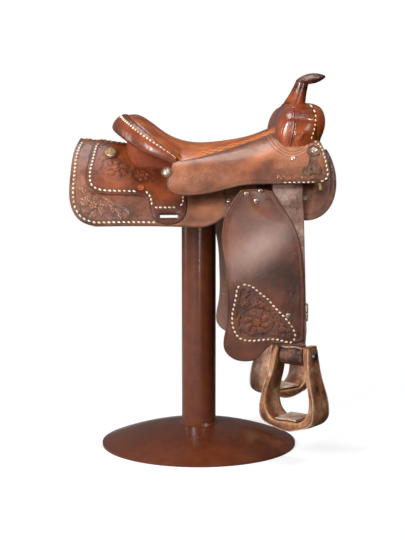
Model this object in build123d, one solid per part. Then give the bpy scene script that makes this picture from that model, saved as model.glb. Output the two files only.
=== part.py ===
from build123d import *
import os
from math import cos, hypot, radians, sin, sqrt

# A western saddle on a turned steel pedestal. Origin on the floor under the column, +Z up,
# the horn towards +X. Lengths in millimetres, angles in degrees.

# Fits
fit_gap = 0.1
layer_gap = 0.3
run_gap = 0.4
drape_gap = 0.9
overrun = 20.0

# Stand
base_diameter = 508.0
base_thickness = 5.0
base_rim = 6.0
base_rise = 49.0
land_diameter = 104.0
column_diameter = 88.9
column_wall = 3.2
column_top = 636.0
weld_leg = 6.0
flange_side = 120.0
flange_thickness = 6.0
flange_corner = 12.0

# Swivel
plate_thickness = 4.0
race_height = 4.0
race_gap = 3.0
race_diameter = 90.0
race_width = 18.0
ball_diameter = 10.0
ball_count = 18
kingpin_diameter = 16.0
kingpin_head_diameter = 26.0
kingpin_head_height = 4.0
bolt_diameter = 8.0
bolt_head_diameter = 13.0
bolt_head_height = 5.0
bolt_spacing = 90.0

# Saddle bracket
bracket_length = 150.0
bracket_width = 124.0
bracket_thickness = 5.0
bracket_height = 102.0
bracket_hole_diameter = 34.0
screw_diameter = 5.0
screw_head_diameter = 10.0
screw_head_height = 3.0
screw_length = 12.0
screw_spacing = 100.0
screw_drop = 10.0

# Skirt drape: a rounded roof form that rises to both ends
saddle_half = 340.0
drape_height = 200.0
skirt_foot = 590.0
ridge_height = 772.0
rocker_radius = 1390.0
skirt_half_width = 186.0
skirt_spring = 588.0
skirt_power = 1.5
skirt_thickness = 5.0
lining_thickness = 4.0
lining_share = 0.985
lining_level_share = 0.5
channel_clear = 1.0
channel_rear_x = -110.0
bar_thickness = 17.0
bar_rear_x = -56.0
bar_front_x = 296.0
bar_foot = 712.0
jockey_thickness = 4.5
drape_reach = 380.0
skirt_stations = 3
jockey_stations = 9
hidden_rear_x = -66.0
hidden_foot = 706.0

# Seat jockey drape
jockey_half_width = 211.0
jockey_power = 2.0
seam_rear_x = -49.0
seam_front_x = 190.0
seam_rear_half = 165.0
seam_front_half = 76.0
seam_rear_height = 758.0
seam_slope_share = 0.16
seam_curve_radius = 1111.0
jockey_foot_rear = 666.0
jockey_foot_front = 690.0
jockey_foot_end_x = 100.0
jockey_rear_x = -95.0
jockey_front_x = 330.0

# Seat
seat_thickness = 14.0
seat_edge = 5.0
seat_crown_power = 2.4
seat_under_fork = 6.2
rim_depth = 133.0
rim_slope_share = 0.788
rim_start_x = seam_rear_x - 0.985 * rim_depth
ground_seat_thickness = 3.0
ground_seat_share = 0.66
ground_seat_gap = 1.6
ground_seat_rear_x = -54.0
ground_seat_front_x = 160.0

# Cantle
roll_width = 46.0
roll_thickness = 26.0
roll_end_share = 0.36
roll_lean_centre = 45.0
roll_lean_side = 68.0
roll_end_angle = 84.0
roll_sections = 15
cantle_rear_x = -172.0
cantle_front_x = -62.0
cantle_side_share = 0.5
cantle_stations = 5
cantle_back_thickness = 3.5

# Fork and horn
fork_cover_thickness = 4.0
fork_seam_depth = 35.3
gullet_half_width = 66.0
gullet_top = 796.0
horn_setback = 75.3
horn_sink = 9.0
horn_base_radius = 29.0
horn_waist_radius = 17.0
horn_neck_length = 71.0
neck_shares = [0.0, 0.45, 1.0]
horn_lean = 18.0
horn_wrap_thickness = 5.0
cap_reach = 42.0
cap_rise = 71.0
cap_radius = 38.0
cap_height = 14.0
cap_edge = 4.0
cap_tilt = 9.0
horn_head_radius = 34.0
horn_head_height = 6.0

# Hanging side: it swings about a line across the saddle
swing_x = 214.0
swing_z = 715.0
swing_plane = 197.0
swing_inner_plane = 186.3
dish_start = 52.0
dish_end = 116.0
swing_reach = 620.0
leather_thickness = 4.5
fender_thickness = 4.0
leather_width = 74.0
leather_foot_x = 227.0
leather_foot_z = 300.0
leather_taper = 32.0
loop_half_height = 26.0
loop_depth = 34.0
loop_bend = 10.0
bridge_half_height = 9.5
bridge_end = 14.0
bridge_clear = 50.0

# Stirrup
stirrup_x = 233.0
stirrup_plane = 193.0
stirrup_turn = 37.0
bolt_z = 273.0
stirrup_top_z = 297.0
stirrup_foot_z = 80.0
stirrup_band = 19.0
stirrup_top_width = 109.0
stirrup_foot_width = 163.0
stirrup_top_depth = 40.0
stirrup_foot_depth = 80.0
tread_height = 30.0
stirrup_bolt_diameter = 9.5
bolt_nut_diameter = 17.0
bolt_nut_height = 6.0
roller_diameter = 17.0
roller_wall = 3.4
wrap_wall = 4.5
wrap_side_gap = 2.0
tread_cover_thickness = 2.5
tread_cover_share = 0.36
tread_cover_gap = 0.6
stirrup_outer_shares = [(0.0, 1.0), (0.1, 0.86), (0.42, 0.6), (0.86, 0.4), (1.0, 0.26), (0.8, 0.12), (0.0,
                                                                                                      0.04)]
stirrup_knee_share = 0.28
tread_knee_share = 0.45

# Outlines, as shares of half the saddle's length and of the drape's height above the skirt's foot
skirt_rear_shares = [(-0.876, 1.12), (-0.924, 0.985), (-0.956, 0.705), (-0.965, 0.475), (-0.947, 0.26),
                     (-0.882, 0.105), (-0.77, 0.033)]
skirt_bottom_shares = [(-0.77, 0.033), (-0.44, 0.036), (0.0, 0.015)]
skirt_rise_shares = [(0.0, 0.015), (0.07, 0.045), (0.16, 0.13)]
skirt_hidden_shares = [(0.16, 0.13), (0.7, 0.11)]
skirt_front_shares = [(0.7, 0.11), (0.77, 0.098), (0.882, 0.155), (0.965, 0.315), (1.0, 0.52),
                      (0.997, 0.72), (0.962, 0.915), (0.91, 1.06)]
skirt_top_shares = [(0.91, 1.06), (0.9, 1.4), (-0.84, 1.4), (-0.876, 1.12)]

rear_jockey_rear_shares = [(-0.745, 1.06), (-0.785, 1.01), (-0.821, 0.85), (-0.846, 0.62),
                           (-0.832, 0.52), (-0.785, 0.445), (-0.69, 0.406)]
rear_jockey_step_shares = [(-0.69, 0.406), (-0.47, 0.396)]
rear_jockey_neck_shares = [(-0.47, 0.396), (-0.395, 0.35), (-0.374, 0.22), (-0.35, 0.12), (-0.29, 0.062),
                           (-0.22, 0.055), (-0.155, 0.095), (-0.117, 0.18), (-0.108, 0.33)]
rear_jockey_top_shares = [(-0.108, 0.33), (-0.108, 1.4), (-0.74, 1.4), (-0.745, 1.06)]

seat_jockey_rear_shares = [(-0.19, 0.9), (-0.236, 0.7), (-0.25, 0.57), (-0.237, 0.49), (-0.19, 0.443),
                           (-0.11, 0.422)]
seat_jockey_bottom_shares = [(-0.11, 0.422), (0.04, 0.447), (0.17, 0.498), (0.29, 0.545), (0.42, 0.562),
                             (0.6, 0.565), (0.86, 0.575)]
seat_jockey_front_shares = [(0.86, 0.575), (0.915, 0.61), (0.934, 0.68), (0.925, 0.79), (0.905, 0.92),
                            (0.885, 1.04), (0.84, 1.14)]
seat_jockey_top_shares = [(0.84, 1.14), (0.84, 1.5), (-0.19, 1.5), (-0.19, 0.9)]

rigging_shares = [(0.17, 0.53), (0.17, 0.28), (0.19, 0.2), (0.3, 0.16), (0.42, 0.2), (0.42, 0.53)]
keeper_shares = [(0.795, 0.945), (0.83, 0.95), (0.85, 0.8), (0.89, 0.66), (0.83, 0.61), (0.77, 0.66), (0.79,
                                                                                                       0.8)]

wing_shares = [(0.3, 0.44), (0.34, 0.47), (0.578, 0.43), (0.578, -0.1), (0.5, -0.1), (0.33, 0.24)]
fender_left_shares = [(0.285, 0.49), (0.206, 0.295), (0.159, 0.085), (0.147, -0.165), (0.171, -0.41),
                      (0.185, -0.76), (0.182, -1.185), (0.163, -1.36)]
fender_foot_shares = [(0.163, -1.36), (0.165, -1.5), (0.232, -1.63), (0.33, -1.665), (0.406, -1.635),
                      (0.462, -1.53), (0.52, -1.447)]
fender_base_shares = [(0.52, -1.447), (0.615, -1.45), (0.75, -1.41)]
fender_right_shares = [(0.75, -1.41), (0.753, -0.75), (0.729, -0.265)]
fender_shoulder_shares = [(0.729, -0.265), (0.676, 0.03), (0.6, 0.25), (0.515, 0.475)]
fender_top_shares = [(0.515, 0.475), (0.4, 0.5), (0.285, 0.49)]

seat_line_shares = [(-0.52, 1.37), (-0.485, 1.373), (-0.438, 1.355), (-0.382, 1.3), (-0.303, 1.2),
                    (-0.226, 1.11), (-0.144, 1.05), (-0.012, 1.008), (0.115, 1.015), (0.253, 1.045),
                    (0.382, 1.09), (0.465, 1.14), (0.57, 1.22)]

# Fork sections: share of the swell's half width, then rear, front, foot and top as side-view shares
swell_half_width = 160.0
fork_section_shares = [(0.0, 0.57, 0.945, 0.8, 1.515), (0.35, 0.565, 0.94, 0.75, 1.5),
                       (0.62, 0.553, 0.925, 0.72, 1.46), (0.82, 0.555, 0.895, 0.74, 1.42),
                       (0.94, 0.585, 0.85, 0.84, 1.37), (1.0, 0.63, 0.8, 0.96, 1.3),
                       (1.03, 0.68, 0.75, 1.08, 1.2)]
fork_rear_x = fork_section_shares[0][1] * saddle_half
fork_front_x = fork_section_shares[0][2] * saddle_half
fork_top_z = skirt_foot + fork_section_shares[0][4] * drape_height
fork_seam_x = fork_front_x - fork_seam_depth
horn_base_x = fork_front_x - horn_setback
horn_base_z = fork_top_z - horn_sink
cap_x = horn_base_x + cap_reach
cap_z = horn_base_z + cap_rise
seat_front_x = fork_rear_x + seat_under_fork
fork_profile_shares = [(0.0, 0.5), (0.06, 0.8), (0.22, 0.98), (0.5, 1.0), (0.75, 0.99), (0.95, 0.9),
                       (1.0, 0.72), (0.93, 0.42), (0.8, 0.12), (0.5, 0.0), (0.2, 0.06), (0.05, 0.25)]

# Trim: places as shares of half the saddle's length and of the drape's height
silver_rear_share = (-0.254, 0.71)
silver_front_share = (0.82, 0.965)
berry_share = (-0.665, 0.895)
button_share = (-0.438, 0.495)
screw_share = (0.665, 0.87)
nail_share = (0.206, 0.34)
brass_screw_share = (0.762, 0.365)
slot_share = (-0.237, 0.155)
string_share = (0.877, 0.51)
silver_diameter = 17.0
silver_height = 2.5
rosette_diameter = 26.0
front_rosette_diameter = 32.0
rosette_height = 2.0
berry_diameter = 30.0
berry_height = 9.0
berry_rosette_diameter = 38.0
button_diameter = 18.0
button_height = 4.0
nail_diameter = 9.0
nail_height = 2.0
trim_shank_diameter = 4.0
slot_length = 46.0
slot_height = 10.0
string_width = 8.0
string_length = 26.0
string_thickness = 2.0
keeper_thickness = 3.0
rivet_diameter = 12.0
rivet_height = 2.0
fender_rivet_shares = [(0.326, 0.44), (0.429, 0.47), (0.397, 0.35)]
brass_rivet_share = (0.635, -1.085)
buckle_share = (0.66, -1.06)
buckle_height = 46.0
buckle_width = 86.0
buckle_wire = 4.0


def named(shape, label):
    shape.label = label
    return shape


def spot(share):
    """A place in the side view from its shares."""
    return share[0] * saddle_half, skirt_foot + share[1] * drape_height


def side_edges(runs, y):
    """One edge for each run of shares: a straight line for two points, otherwise a spline."""
    edges = []
    for run in runs:
        points = [(spot(share)[0], y, spot(share)[1]) for share in run]
        edges.append(Line(*points) if len(points) == 2 else Spline(*points))
    return edges


def polygon_runs(shares):
    return [[shares[i], shares[(i + 1) % len(shares)]] for i in range(len(shares))]


def side_prism(runs, near=layer_gap, far=0.0):
    """A block that stands out sideways from a side-view outline."""
    reach = far or jockey_half_width + 2 * overrun
    face = Face(Wire(side_edges(runs, near)))
    return extrude(face, amount=reach - near, dir=(0, 1, 0))


def chain_runs(*runs):
    """Runs whose last one is drawn as straight pieces."""
    straight = [[runs[-1][i], runs[-1][i + 1]] for i in range(len(runs[-1]) - 1)]
    return list(runs[:-1]) + straight


def ridge(x):
    return ridge_height + x * x / (2 * rocker_radius)


def skirt_form(x):
    """Centre, half width, foot and rise of the skirt's section at x, and its power."""
    return 0.0, skirt_half_width, skirt_spring, ridge(x) - skirt_spring, skirt_power


def smooth(low, high, value):
    t = min(1.0, max(0.0, (value - low) / (high - low)))
    return t * t * (3 - 2 * t)


def seam_half(x):
    return seam_rear_half + (seam_front_half - seam_rear_half) * smooth(seam_rear_x, seam_front_x, x)


def seam_height(x):
    run = min(max(x, seam_rear_x), seam_front_x) - seam_rear_x
    return seam_rear_height + seam_slope_share * run + run * run / (2 * seam_curve_radius)


def jockey_form(x):
    foot = jockey_foot_rear + (jockey_foot_front - jockey_foot_rear) * smooth(
        seam_rear_x, jockey_foot_end_x, x)
    half = seam_half(x)
    inner = half + drape_gap
    return inner, jockey_half_width - inner, foot, seam_height(x) - foot, jockey_power


drape_shares = [0.0, 0.28, 0.55, 0.78, 0.93, 1.0]


def drape_point(form, x, share, lift):
    """A point of a draped section, lifted along its normal."""
    centre, half, foot, rise, power = form(x)
    up = (1 - share ** power) ** (1 / power)
    normal_y = share ** (power - 1) / half
    normal_z = up ** (power - 1) / rise
    size = hypot(normal_y, normal_z)
    return centre + share * half + lift * normal_y / size, foot + up * rise + lift * normal_z / size


def drape_share_at(form, x, z, lift):
    """Share at which a lifted drape has the given height."""
    low = 0.0
    high = 1.0
    for _ in range(40):
        share = (low + high) / 2
        if drape_point(form, x, share, lift)[1] > z:
            low = share
        else:
            high = share
    return low


def stations(first, last, count):
    return [first + (last - first) * i / (count - 1) for i in range(count)]


def drape_shell(form, first, last, lift, thickness, count=skirt_stations):
    """A thin draped sheet on the left side, between two lifts of the form."""
    wires = []
    for x in stations(first, last, count):
        outer = [(x, *drape_point(form, x, share, lift + thickness)) for share in drape_shares]
        inner = [(x, *drape_point(form, x, share, lift)) for share in reversed(drape_shares)]
        wires.append(Wire([Spline(*outer), Line(outer[-1], inner[0]), Spline(*inner), Line(inner[-1],
                                                                                           outer[0])]))
    return Solid.make_loft(wires, False)


def under_drape(lift):
    """Everything below a lift of the skirt's form, as a cutting block."""
    wires = []
    low = skirt_foot - drape_height
    for x in stations(-drape_reach, drape_reach, skirt_stations):
        left = [(x, *drape_point(skirt_form, x, share, lift)) for share in drape_shares]
        right = [(x, -y, z) for _, y, z in reversed(left[1:])]
        top = right + left
        first = (x, top[0][1], low)
        last = (x, top[-1][1], low)
        wires.append(Wire([Spline(*top), Line(top[-1], last), Line(last, first), Line(first, top[0])]))
    return Solid.make_loft(wires, False)


def ring_of(points):
    """A body turned about the column from a half profile of radius and height."""
    corners = [(r, 0, z) for r, z in points]
    return revolve(make_face(Polyline(*corners, close=True)), Axis.Z, 360)


def rod(radius, start, end):
    """A round bar between two points."""
    way = Vector(*end) - Vector(*start)
    return Plane(origin=start, z_dir=way) * Cylinder(
        radius, way.length, align=(Align.CENTER, Align.CENTER, Align.MIN))


def square_places(spacing):
    return [(sx * spacing / 2, sy * spacing / 2) for sx in (-1, 1) for sy in (-1, 1)]


# Heights of the stack on the column
flange_top = column_top + flange_thickness
base_plate_top = flange_top + plate_thickness
race_low_top = base_plate_top + race_height
race_high_foot = race_low_top + race_gap
top_plate_foot = race_high_foot + race_height
top_plate_top = top_plate_foot + plate_thickness
bracket_top = top_plate_top + bracket_thickness
ball_height = race_low_top + race_gap / 2
land_height = base_rim + base_rise


def sphere_height(low, high, radius, drop):
    """Height at a radius of the sphere through two rings about the column, shrunk by a drop."""
    centre = (high[0] ** 2 + high[1] ** 2 - low[0] ** 2 - low[1] ** 2) / (2 * (high[1] - low[1]))
    size = hypot(high[0], high[1] - centre) - drop
    return centre + sqrt(size ** 2 - radius ** 2)


def dome_arc(low, high, first, last, drop):
    middle = (first + last) / 2
    points = [(r, 0, sphere_height(low, high, r, drop)) for r in (first, middle, last)]
    return ThreePointArc(*points), points[0], points[2]


def make_dome():
    low = (base_diameter / 2, base_rim)
    high = (land_diameter / 2, land_height)
    outer, rim, land = dome_arc(low, high, low[0], high[0], 0)
    inner, inner_land, inner_rim = dome_arc(low, high, high[0], low[0] - base_thickness, base_thickness)
    axis_foot = (0, 0, inner_land[2])
    axis_top = (0, 0, land[2])
    rim_foot = (rim[0], 0, 0)
    inner_foot = (inner_rim[0], 0, 0)
    profile = [Line(rim_foot, rim), outer, Line(land, axis_top), Line(axis_top, axis_foot),
               Line(axis_foot, inner_land), inner, Line(inner_rim, inner_foot), Line(inner_foot, rim_foot)]
    return revolve(Face(Wire(profile)), Axis.Z, 360)


def square_plate(side, foot, thickness, hole_radius, corner=flange_corner):
    plate = extrude(RectangleRounded(side, side, corner), amount=thickness)
    plate -= Cylinder(hole_radius, thickness * 3)
    for x, y in square_places(bolt_spacing):
        plate -= Pos(x, y, 0) * Cylinder(bolt_diameter / 2 + fit_gap, thickness * 3)
    return Pos(0, 0, foot) * plate


def race_ring(foot):
    middle = race_diameter / 2
    half = race_width / 2
    ring = ring_of([(middle - half, foot), (middle + half, foot), (middle + half, foot + race_height),
                    (middle - half, foot + race_height)])
    return ring - Pos(0, 0, ball_height) * Torus(middle, ball_diameter / 2 + fit_gap)


def bolt_group(foot, grip):
    """Four bolts that point down, with their nuts under the grip."""
    bolts = []
    for x, y in square_places(bolt_spacing):
        shank = Pos(x, y, foot - bolt_head_height) * Cylinder(
            bolt_diameter / 2, grip + 2 * bolt_head_height, align=(Align.CENTER, Align.CENTER, Align.MIN))
        head = Pos(x, y, foot + grip + fit_gap) * extrude(
            RegularPolygon(bolt_head_diameter / 2, 6), amount=bolt_head_height)
        nut = Pos(x, y, foot - fit_gap - bolt_head_height) * extrude(
            RegularPolygon(bolt_head_diameter / 2, 6), amount=bolt_head_height)
        bolts.append(shank + head + nut)
    return Compound(children=bolts)


def make_stand():
    outside = column_diameter / 2
    inside = outside - column_wall
    column = ring_of([(inside, land_height), (outside, land_height), (outside, column_top), (inside,
                                                                                             column_top)])
    toe = outside + weld_leg
    weld = ring_of([(outside, land_height), (toe, land_height), (outside, land_height + weld_leg)])
    flange = square_plate(flange_side, column_top, flange_thickness, inside)
    lower = square_plate(flange_side, flange_top, plate_thickness, kingpin_diameter / 2 + fit_gap)
    lower += race_ring(base_plate_top)
    pin_radius = kingpin_diameter / 2
    head_foot = top_plate_top + run_gap
    pin = ring_of([(0, flange_top - kingpin_head_height), (kingpin_head_diameter / 2,
                                                           flange_top - kingpin_head_height),
                   (kingpin_head_diameter / 2, flange_top - fit_gap), (pin_radius, flange_top - fit_gap),
                   (pin_radius, head_foot), (kingpin_head_diameter / 2, head_foot),
                   (kingpin_head_diameter / 2, head_foot + kingpin_head_height), (0,
                           head_foot + kingpin_head_height)])
    balls = [
        Rot(0, 0, 360 * i / ball_count) * Pos(race_diameter / 2, 0, ball_height) * Sphere(ball_diameter / 2)
        for i in range(ball_count)
    ]
    return {
        "base_dome": make_dome(),
        "column": column,
        "foot_weld": weld,
        "column_flange": flange,
        "swivel_lower_plate": lower,
        "swivel_balls": Compound(children=balls),
        "swivel_kingpin": pin,
    }


def make_bracket():
    """The upper plate, the folded bracket on it and the screws into the tree bars."""
    upper = square_plate(flange_side, top_plate_foot, plate_thickness, kingpin_diameter / 2 + fit_gap)
    upper += race_ring(race_high_foot)
    foot = top_plate_top + fit_gap
    bracket = Pos(0, 0, foot) * Box(bracket_length, bracket_width, bracket_height,
                                    align=(Align.CENTER, Align.CENTER, Align.MIN))
    bracket -= Pos(0, 0, foot + bracket_thickness) * Box(
        bracket_length + overrun, bracket_width - 2 * bracket_thickness, bracket_height,
        align=(Align.CENTER, Align.CENTER, Align.MIN))
    bracket -= Pos(0, 0, foot) * Cylinder(bracket_hole_diameter / 2, bracket_thickness * 3)
    for x, y in square_places(bolt_spacing):
        bracket -= Pos(x, y, foot) * Cylinder(bolt_diameter / 2 + fit_gap, bracket_thickness * 3)
    screw_z = foot + bracket_height - screw_drop
    screws = []
    for side in (-1, 1):
        for x in (-screw_spacing / 2, screw_spacing / 2):
            inner = side * (bracket_width / 2 - bracket_thickness - fit_gap)
            tip = side * (bracket_width / 2 + screw_length)
            head = side * (bracket_width / 2 - bracket_thickness - fit_gap - screw_head_height)
            screws.append(rod(screw_diameter / 2, (x, inner, screw_z), (x, tip, screw_z))
                          + rod(screw_head_diameter / 2, (x, head, screw_z), (x, inner, screw_z)))
            bracket -= rod(screw_diameter / 2 + fit_gap, (x, head, screw_z), (x, tip, screw_z))
    return {
        "swivel_upper_plate": upper,
        "saddle_bracket": bracket,
        "bracket_screws": Compound(children=screws),
        "swivel_bolts": bolt_group(column_top, flange_thickness + plate_thickness),
        "bracket_bolts": bolt_group(top_plate_foot, plate_thickness + bracket_thickness + fit_gap),
    }


def block(low, high):
    """A box between two corners."""
    size = [high[i] - low[i] for i in range(3)]
    middle = [(high[i] + low[i]) / 2 for i in range(3)]
    return Pos(*middle) * Box(*size)


def make_bar():
    """The left bar of the tree with the crowned seat for the stirrup leather."""
    shell = drape_shell(skirt_form, -drape_reach, drape_reach, layer_gap + jockey_thickness + layer_gap,
                        bar_thickness)
    bar_top = skirt_foot + 2 * drape_height
    inner = bracket_width / 2 + fit_gap
    bar = shell & block((bar_rear_x, inner, bar_foot), (bar_front_x, jockey_half_width, bar_top))
    outer_leaf = swing_inner_plane - leather_thickness
    inner_leaf = outer_leaf - loop_depth + 2 * leather_thickness
    loop_reach = bridge_clear
    bar -= block((swing_x - loop_reach, inner_leaf - leather_thickness - run_gap, bar_foot - overrun),
                 (swing_x + loop_reach, jockey_half_width, bar_top))
    low = swing_z - bridge_half_height
    high = swing_z + bridge_half_height
    neck_inner = inner_leaf + run_gap
    neck_outer = outer_leaf - run_gap
    end = loop_reach + bridge_end
    bar += block((swing_x - end, neck_inner, low), (swing_x + end, neck_outer, high))
    root = neck_inner - loop_depth / 2
    for side in (-1, 1):
        near = swing_x + side * loop_reach
        far = swing_x + side * end
        bar += block((min(near, far), root, low), (max(near, far), neck_outer, high))
    bar += rod(loop_half_height - run_gap, (swing_x, neck_inner + loop_bend / 2, swing_z),
               (swing_x, neck_outer - loop_bend / 2, swing_z))
    foot = top_plate_top + fit_gap
    screw_z = foot + bracket_height - screw_drop
    for x in (-screw_spacing / 2, screw_spacing / 2):
        bar -= rod(screw_diameter / 2 + fit_gap, (x, 0, screw_z),
                   (x, bracket_width / 2 + screw_length + fit_gap, screw_z))
    return bar


def seat_half(x):
    """Half the seat's width: to the seam in front, and to the cantle's rim behind it."""
    if x >= seam_rear_x:
        return seam_half(x)
    return seam_rear_half * sqrt(max(0.0, 1 - ((seam_rear_x - x) / rim_depth) ** 2))


def seat_side(x):
    if x >= seam_rear_x:
        return seam_height(x)
    return seam_rear_height + (seam_rear_x - x) * rim_slope_share


def seat_line(x):
    """Height of the seat's middle line between the places of its table."""
    points = [spot(share) for share in seat_line_shares]
    for (x0, z0), (x1, z1) in zip(points, points[1:]):
        if x <= x1:
            return z0 + (z1 - z0) * (x - x0) / (x1 - x0)
    return points[-1][1]


crown_shares = [0.0, 0.3, 0.55, 0.75, 0.9, 1.0]


def seat_section(x, top_drop, foot_drop, edge_drop, width_share):
    """A closed section of a layer of the seat between two drops below its top."""
    half = seat_half(x) * width_share
    side = seat_side(x)
    rise = seat_line(x) - side
    def level(share, drop, edge):
        crown = 1 - (share * width_share) ** seat_crown_power
        return side - edge + (rise - drop + edge) * crown
    def line(drop, edge):
        right = [(x, -share * half, level(share, drop, edge)) for share in reversed(crown_shares[1:])]
        left = [(x, share * half, level(share, drop, edge)) for share in crown_shares]
        return right + left
    top = line(top_drop, min(top_drop, edge_drop))
    foot = line(foot_drop, edge_drop)[::-1]
    return Wire([Spline(*top), Line(top[-1], foot[0]), Spline(*foot), Line(foot[-1], top[0])])


def seat_places(first, last):
    places = [spot(share)[0] for share in seat_line_shares]
    return [first] + [x for x in places if first + seat_edge < x < last - seat_edge] + [last]


def seat_layer(first, last, top_drop, foot_drop, edge_drop, width_share=1.0):
    wires = [seat_section(x, top_drop, foot_drop, edge_drop, width_share) for x in seat_places(first, last)]
    return Solid.make_loft(wires, False)


def seat_block(half_share, lift):
    """The wooden block under the seat's rear, or its leather when it is larger."""
    wires = []
    low = skirt_foot
    for x in stations(cantle_rear_x - lift, cantle_front_x, cantle_stations):
        half = seat_half(cantle_front_x) * half_share + lift
        place = x + lift
        near = min(half, seat_half(place) - seat_edge + lift)
        side = seat_side(place)
        crown = 1 - min(1.0, near / seat_half(place)) ** seat_crown_power
        edge = side - seat_edge + (seat_line(place) - side - seat_thickness + seat_edge) * crown - layer_gap
        middle = seat_line(place) - seat_thickness - layer_gap
        shoulder = (edge + 2 * middle) / 3
        wires.append(Wire([
            Spline((x, -near, edge), (x, -near / 2, shoulder), (x, 0, middle), (x, near / 2, shoulder), (x,
                    near, edge)),
            Line((x, near, edge), (x, near, low)), Line((x, near, low), (x, -near, low)),
            Line((x, -near, low), (x, -near, edge))]))
    return Solid.make_loft(wires, False)


def make_cantle(cut, roll_cut):
    """The wooden cantle block and the leather round its back, cut to the seat, the roll and the drape."""
    seat_cut = seat_layer(rim_start_x, seat_front_x, -overrun, seat_thickness + drape_gap,
                          seat_edge + drape_gap)
    wood = seat_block(cantle_side_share, 0.0) - seat_cut - roll_cut - cut
    sheath = seat_block(cantle_side_share,
                        cantle_back_thickness + drape_gap) - seat_block(cantle_side_share, drape_gap)
    high = 2 * saddle_half + skirt_foot
    sheath &= block((-saddle_half, -saddle_half, skirt_foot), (cantle_front_x - drape_gap, saddle_half,
                                                               high))
    room = bracket_width / 2 + channel_clear
    wood -= block((cantle_rear_x, -room, skirt_foot), (saddle_half, room,
                                                       top_plate_top + bracket_height + channel_clear))
    return {"tree_cantle": wood, "cantle_back": sheath - seat_cut - roll_cut - cut}


def rim_point(angle):
    """A place on the cantle's rim: 0 at the rear, a quarter turn at each end."""
    x = seam_rear_x - rim_depth * cos(radians(angle))
    y = seam_rear_half * sin(radians(angle))
    return Vector(x, y, seam_rear_height + (seam_rear_x - x) * rim_slope_share)


def make_roll(grow=0.0):
    sections = []
    for angle in stations(-roll_end_angle, roll_end_angle, roll_sections):
        turn = abs(sin(radians(angle)))
        size = 1 - (1 - roll_end_share) * turn ** 6
        lean = roll_lean_centre + (roll_lean_side - roll_lean_centre) * turn
        out = Vector(-cos(radians(angle)), sin(radians(angle)), 0)
        way = (out * cos(radians(lean)) - Vector(0, 0, 1) * sin(radians(lean))).normalized()
        along = (rim_point(angle + 1) - rim_point(angle - 1)).normalized()
        normal = along.cross(way).normalized()
        along = way.cross(normal).normalized()
        width = roll_width * size / 2
        middle = rim_point(angle) + way * width
        plane = Plane(origin=middle, x_dir=way, z_dir=along)
        sections.append((plane * Ellipse(width + grow,
                                         roll_thickness * size / 2 + grow)).faces()[0].outer_wire())
    return Solid.make_loft(sections, False)


def fork_solid(inset):
    """The fork's form, drawn in by an inset on every side."""
    wires = []
    for row in [*reversed(fork_section_shares[1:]), *fork_section_shares]:
        mirror_side = -1 if len(wires) < len(fork_section_shares) - 1 else 1
        y = mirror_side * row[0] * (swell_half_width - inset)
        rear, low = spot((row[1], row[3]))
        front, high = spot((row[2], row[4]))
        width = front - rear - 2 * inset
        height = high - low - 2 * inset
        points = [(rear + inset + a * width, y, low + inset + b * height) for a, b in fork_profile_shares]
        wires.append(Wire([Spline(*points, periodic=True)]))
    return Solid.make_loft(wires, False)


def make_fork(cut):
    arch = block((0, -gullet_half_width, skirt_foot), (2 * saddle_half, gullet_half_width,
                                                       gullet_top - gullet_half_width))
    arch += rod(gullet_half_width, (0, 0, gullet_top - gullet_half_width), (2 * saddle_half, 0,
                                                                            gullet_top - gullet_half_width))
    form = fork_solid(0.0)
    socket = neck_loft(-layer_gap)
    cover = form - fork_solid(fork_cover_thickness) - cut - arch - socket
    wood = fork_solid(fork_cover_thickness + layer_gap) - cut - arch - socket
    behind = block((-saddle_half, -saddle_half, 0), (fork_seam_x, saddle_half, 4 * saddle_half))
    ahead = block((fork_seam_x + fit_gap, -saddle_half, 0), (2 * saddle_half, saddle_half, 4 * saddle_half))
    return {"tree_fork": wood, "fork_cover": cover & behind, "fork_front": cover & ahead}


def neck_loft(inset):
    """The horn's neck along its lean, drawn in by an inset."""
    lean = radians(horn_lean)
    way = (sin(lean), 0, cos(lean))
    wires = []
    middle_radius = (horn_base_radius + 2 * horn_waist_radius) / 3
    for share, radius in zip(neck_shares, (horn_base_radius, middle_radius, horn_waist_radius)):
        place = (horn_base_x + share * horn_neck_length * way[0], 0,
                 horn_base_z + share * horn_neck_length * way[2])
        plane = Plane(origin=place, x_dir=(0, 1, 0), z_dir=way)
        wires.append((plane * Circle(radius - inset)).faces()[0].outer_wire())
    return Solid.make_loft(wires, False)


def make_horn():
    plane = Plane(origin=(cap_x, 0, cap_z), x_dir=(0, 1, 0), z_dir=(-sin(radians(cap_tilt)), 0,
                                                                    cos(radians(cap_tilt))))
    rise = cap_height - cap_edge / 2
    sphere = (cap_radius ** 2 + rise ** 2) / (2 * rise)
    lens = Cylinder(cap_radius, 2 * cap_height) & (Pos(0, 0, cap_height - sphere) * Sphere(sphere))
    lens = plane * (lens & (Pos(0, 0, sphere - cap_height) * Sphere(sphere)))
    head = plane * Cylinder(horn_head_radius, horn_head_height)
    level = horn_head_height / 2 + fit_gap
    size = 2 * cap_radius + overrun
    above = lens & (plane * Pos(0, 0, level + size / 2) * Box(size, size, size))
    below = lens & (plane * Pos(0, 0, -level - size / 2) * Box(size, size, size))
    ceiling = plane * Pos(0, 0, size / 2 - horn_head_height / 2 - 2 * fit_gap) * Box(size, size, size)
    core = neck_loft(horn_wrap_thickness + fit_gap) - plane * Pos(0, 0, size / 2) * Box(size, size,
                                                                                        size) + head
    wrap = neck_loft(0.0) - neck_loft(horn_wrap_thickness) - ceiling
    return {"horn_core": core, "horn_wrap": wrap, "horn_cap_top": above,
            "horn_cap_under": below - neck_loft(-fit_gap)}


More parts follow.
